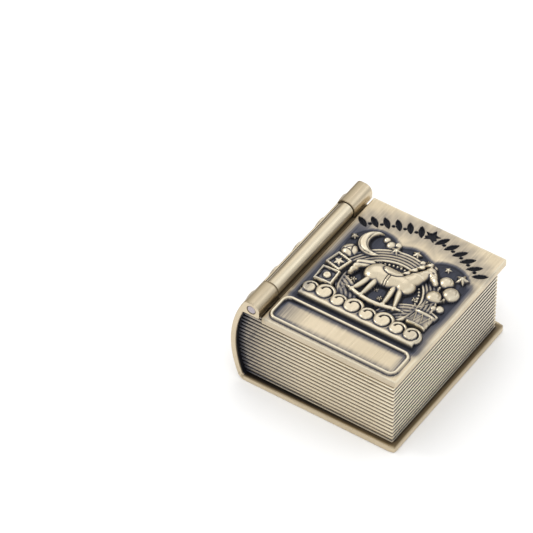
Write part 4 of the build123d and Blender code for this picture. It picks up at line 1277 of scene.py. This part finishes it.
def stripMesh():  # a band along the walls with a rounded upper edge, and its length round the outside
    thick, top, r = soft["stripThick"], liningHigh[2], soft["stripThick"] / 2
    outer, inner = [
        roundedLoop(liningLow[0] + inset, liningHigh[0] - inset, liningLow[1] + inset, liningHigh[1] - inset,
                    soft["stripCorner"] - inset) for inset in (0, thick)]
    turn, middle = np.radians(np.linspace(180, 0, 9)), (liningLow[2] + top) / 2
    across = np.concatenate([[0, 0], 0.5 + 0.5 * np.cos(turn), [1, 1]])
    height = np.concatenate([[liningLow[2], middle], top - r + r * np.sin(turn), [middle, liningLow[2]]])
    points = np.stack([np.column_stack([outer * (1 - t) + inner * t, np.full(len(outer), z)])
                       for t, z in zip(across, height)])
    length = np.linalg.norm(np.roll(outer, -1, axis=0) - outer, axis=1).sum()
    return loopMesh("wallLining", points, closed=True, sharpDegrees=60), length


floorPad = addPiece("floorPad", padMesh("floorPad", floorPadLow, floorPadHigh, False), "box",
                    ["floor_pad"], liningVelvet)
lidPad = addPiece("lidPad", padMesh("lidPad", lidPadLow, lidPadHigh, True), "lid",
                  ["lid_pad"], liningVelvet)
lining, liningLength = stripMesh()
liningPiece = addPiece("wallLining", lining, "box", ["wall_lining"], liningVelvet)

# Camera: the photograph's viewing angle, found by fitting the book's straight edges
view = {"azimuth": 34.04, "elevation": 45.5, "distance": 1001.15, "target": (-26.88, 0.89, 10.0),
        "lens": 312.56, "sensor": 36.0}


def outwards(azimuth, elevation):  # the direction of a place round the object, in degrees from its front
    a, e = math.radians(azimuth), math.radians(elevation)
    return Vector((math.sin(a) * math.cos(e), -math.cos(a) * math.cos(e), math.sin(e)))


camera = bpy.data.objects.new("camera", bpy.data.cameras.new("camera"))
bpy.context.scene.collection.objects.link(camera)
back = outwards(view["azimuth"], view["elevation"])
camera.location = (Vector(view["target"]) + back * view["distance"]) * mm
camera.rotation_euler = back.to_track_quat("Z", "Y").to_euler()
camera.data.lens, camera.data.sensor_width = view["lens"], view["sensor"]
camera.data.clip_start, camera.data.clip_end = 0.05, 20.0
bpy.context.scene.camera = camera

# Floor and soft studio light: a bright tent, darker towards the horizon, four soft boxes and one overhead
studio = {
    "floor": "#f4f4f4", "floorHalf": 1.5, "floorGap": 0.02, "zenith": 0.95, "horizon": 0.55,
    "boxes": [  # azimuth and elevation in degrees, distance and side in metres, strength
        (-146, 43, 0.9, 0.40, 0.22), (-75, 38, 0.8, 0.22, 0.9), (20, 32, 0.8, 0.16, 0.25),
        (152, 36, 0.9, 0.30, 0.16),
    ],
    "overhead": (0, 90, 1.2, 1.2, 6.2),
}
floorMaterial, tree = newMaterial("pale studio card")
shader = addNode(tree, "ShaderNodeBsdfPrincipled", {}, {
    "Base Color": linear(studio["floor"]), "Roughness": 0.9, "Specular IOR Level": 0.0})
addNode(tree, "ShaderNodeOutputMaterial", {}, {"Surface": shader.outputs[0]})
half, below = studio["floorHalf"], -studio["floorGap"] * mm
floorMesh = bpy.data.meshes.new("studioFloor")
corners = [(-half, -half, below), (half, -half, below), (half, half, below), (-half, half, below)]
floorMesh.from_pydata(corners, [], [(0, 1, 2, 3)])
floorMesh.materials.append(floorMaterial)
floor = bpy.data.objects.new("studioFloor", floorMesh)
bpy.context.scene.collection.objects.link(floor)

world = bpy.data.worlds.new("studio")
bpy.context.scene.world = world
world.use_nodes = True
tree = world.node_tree
direction = addNode(tree, "ShaderNodeTexCoord", {}, {}).outputs["Generated"]
height = addNode(tree, "ShaderNodeSeparateXYZ", {}, {0: direction}).outputs[2]
strength = addNode(tree, "ShaderNodeMapRange", {"interpolation_type": "SMOOTHSTEP"}, {
    "Value": height, "From Min": 0.05, "From Max": 0.75, "To Min": studio["horizon"],
    "To Max": studio["zenith"]})
tree.links.new(strength.outputs[0], tree.nodes["Background"].inputs[1])
tree.nodes["Background"].inputs[0].default_value = (1, 1, 1, 1)


def softBox(name, azimuth, elevation, distance, side, power, seenInMetal=True):
    # a square lamp that faces the object from a place round it
    light = bpy.data.objects.new(name, bpy.data.lights.new(name, "AREA"))
    light.data.shape, light.data.size, light.data.energy = "SQUARE", side, power
    away = outwards(azimuth, elevation)
    light.location = away * distance
    light.rotation_euler = away.to_track_quat("Z", "Y").to_euler()
    light.visible_glossy = seenInMetal
    light.visible_camera = False
    bpy.context.scene.collection.objects.link(light)


for k, box in enumerate(studio["boxes"]):
    softBox(f"softBox{k + 1}", *box)
softBox("overhead", *studio["overhead"], seenInMetal=False)
bpy.context.scene.view_settings.view_transform = "Standard"
print("studio lit:", len(studio["boxes"]) + 1, "lamps")
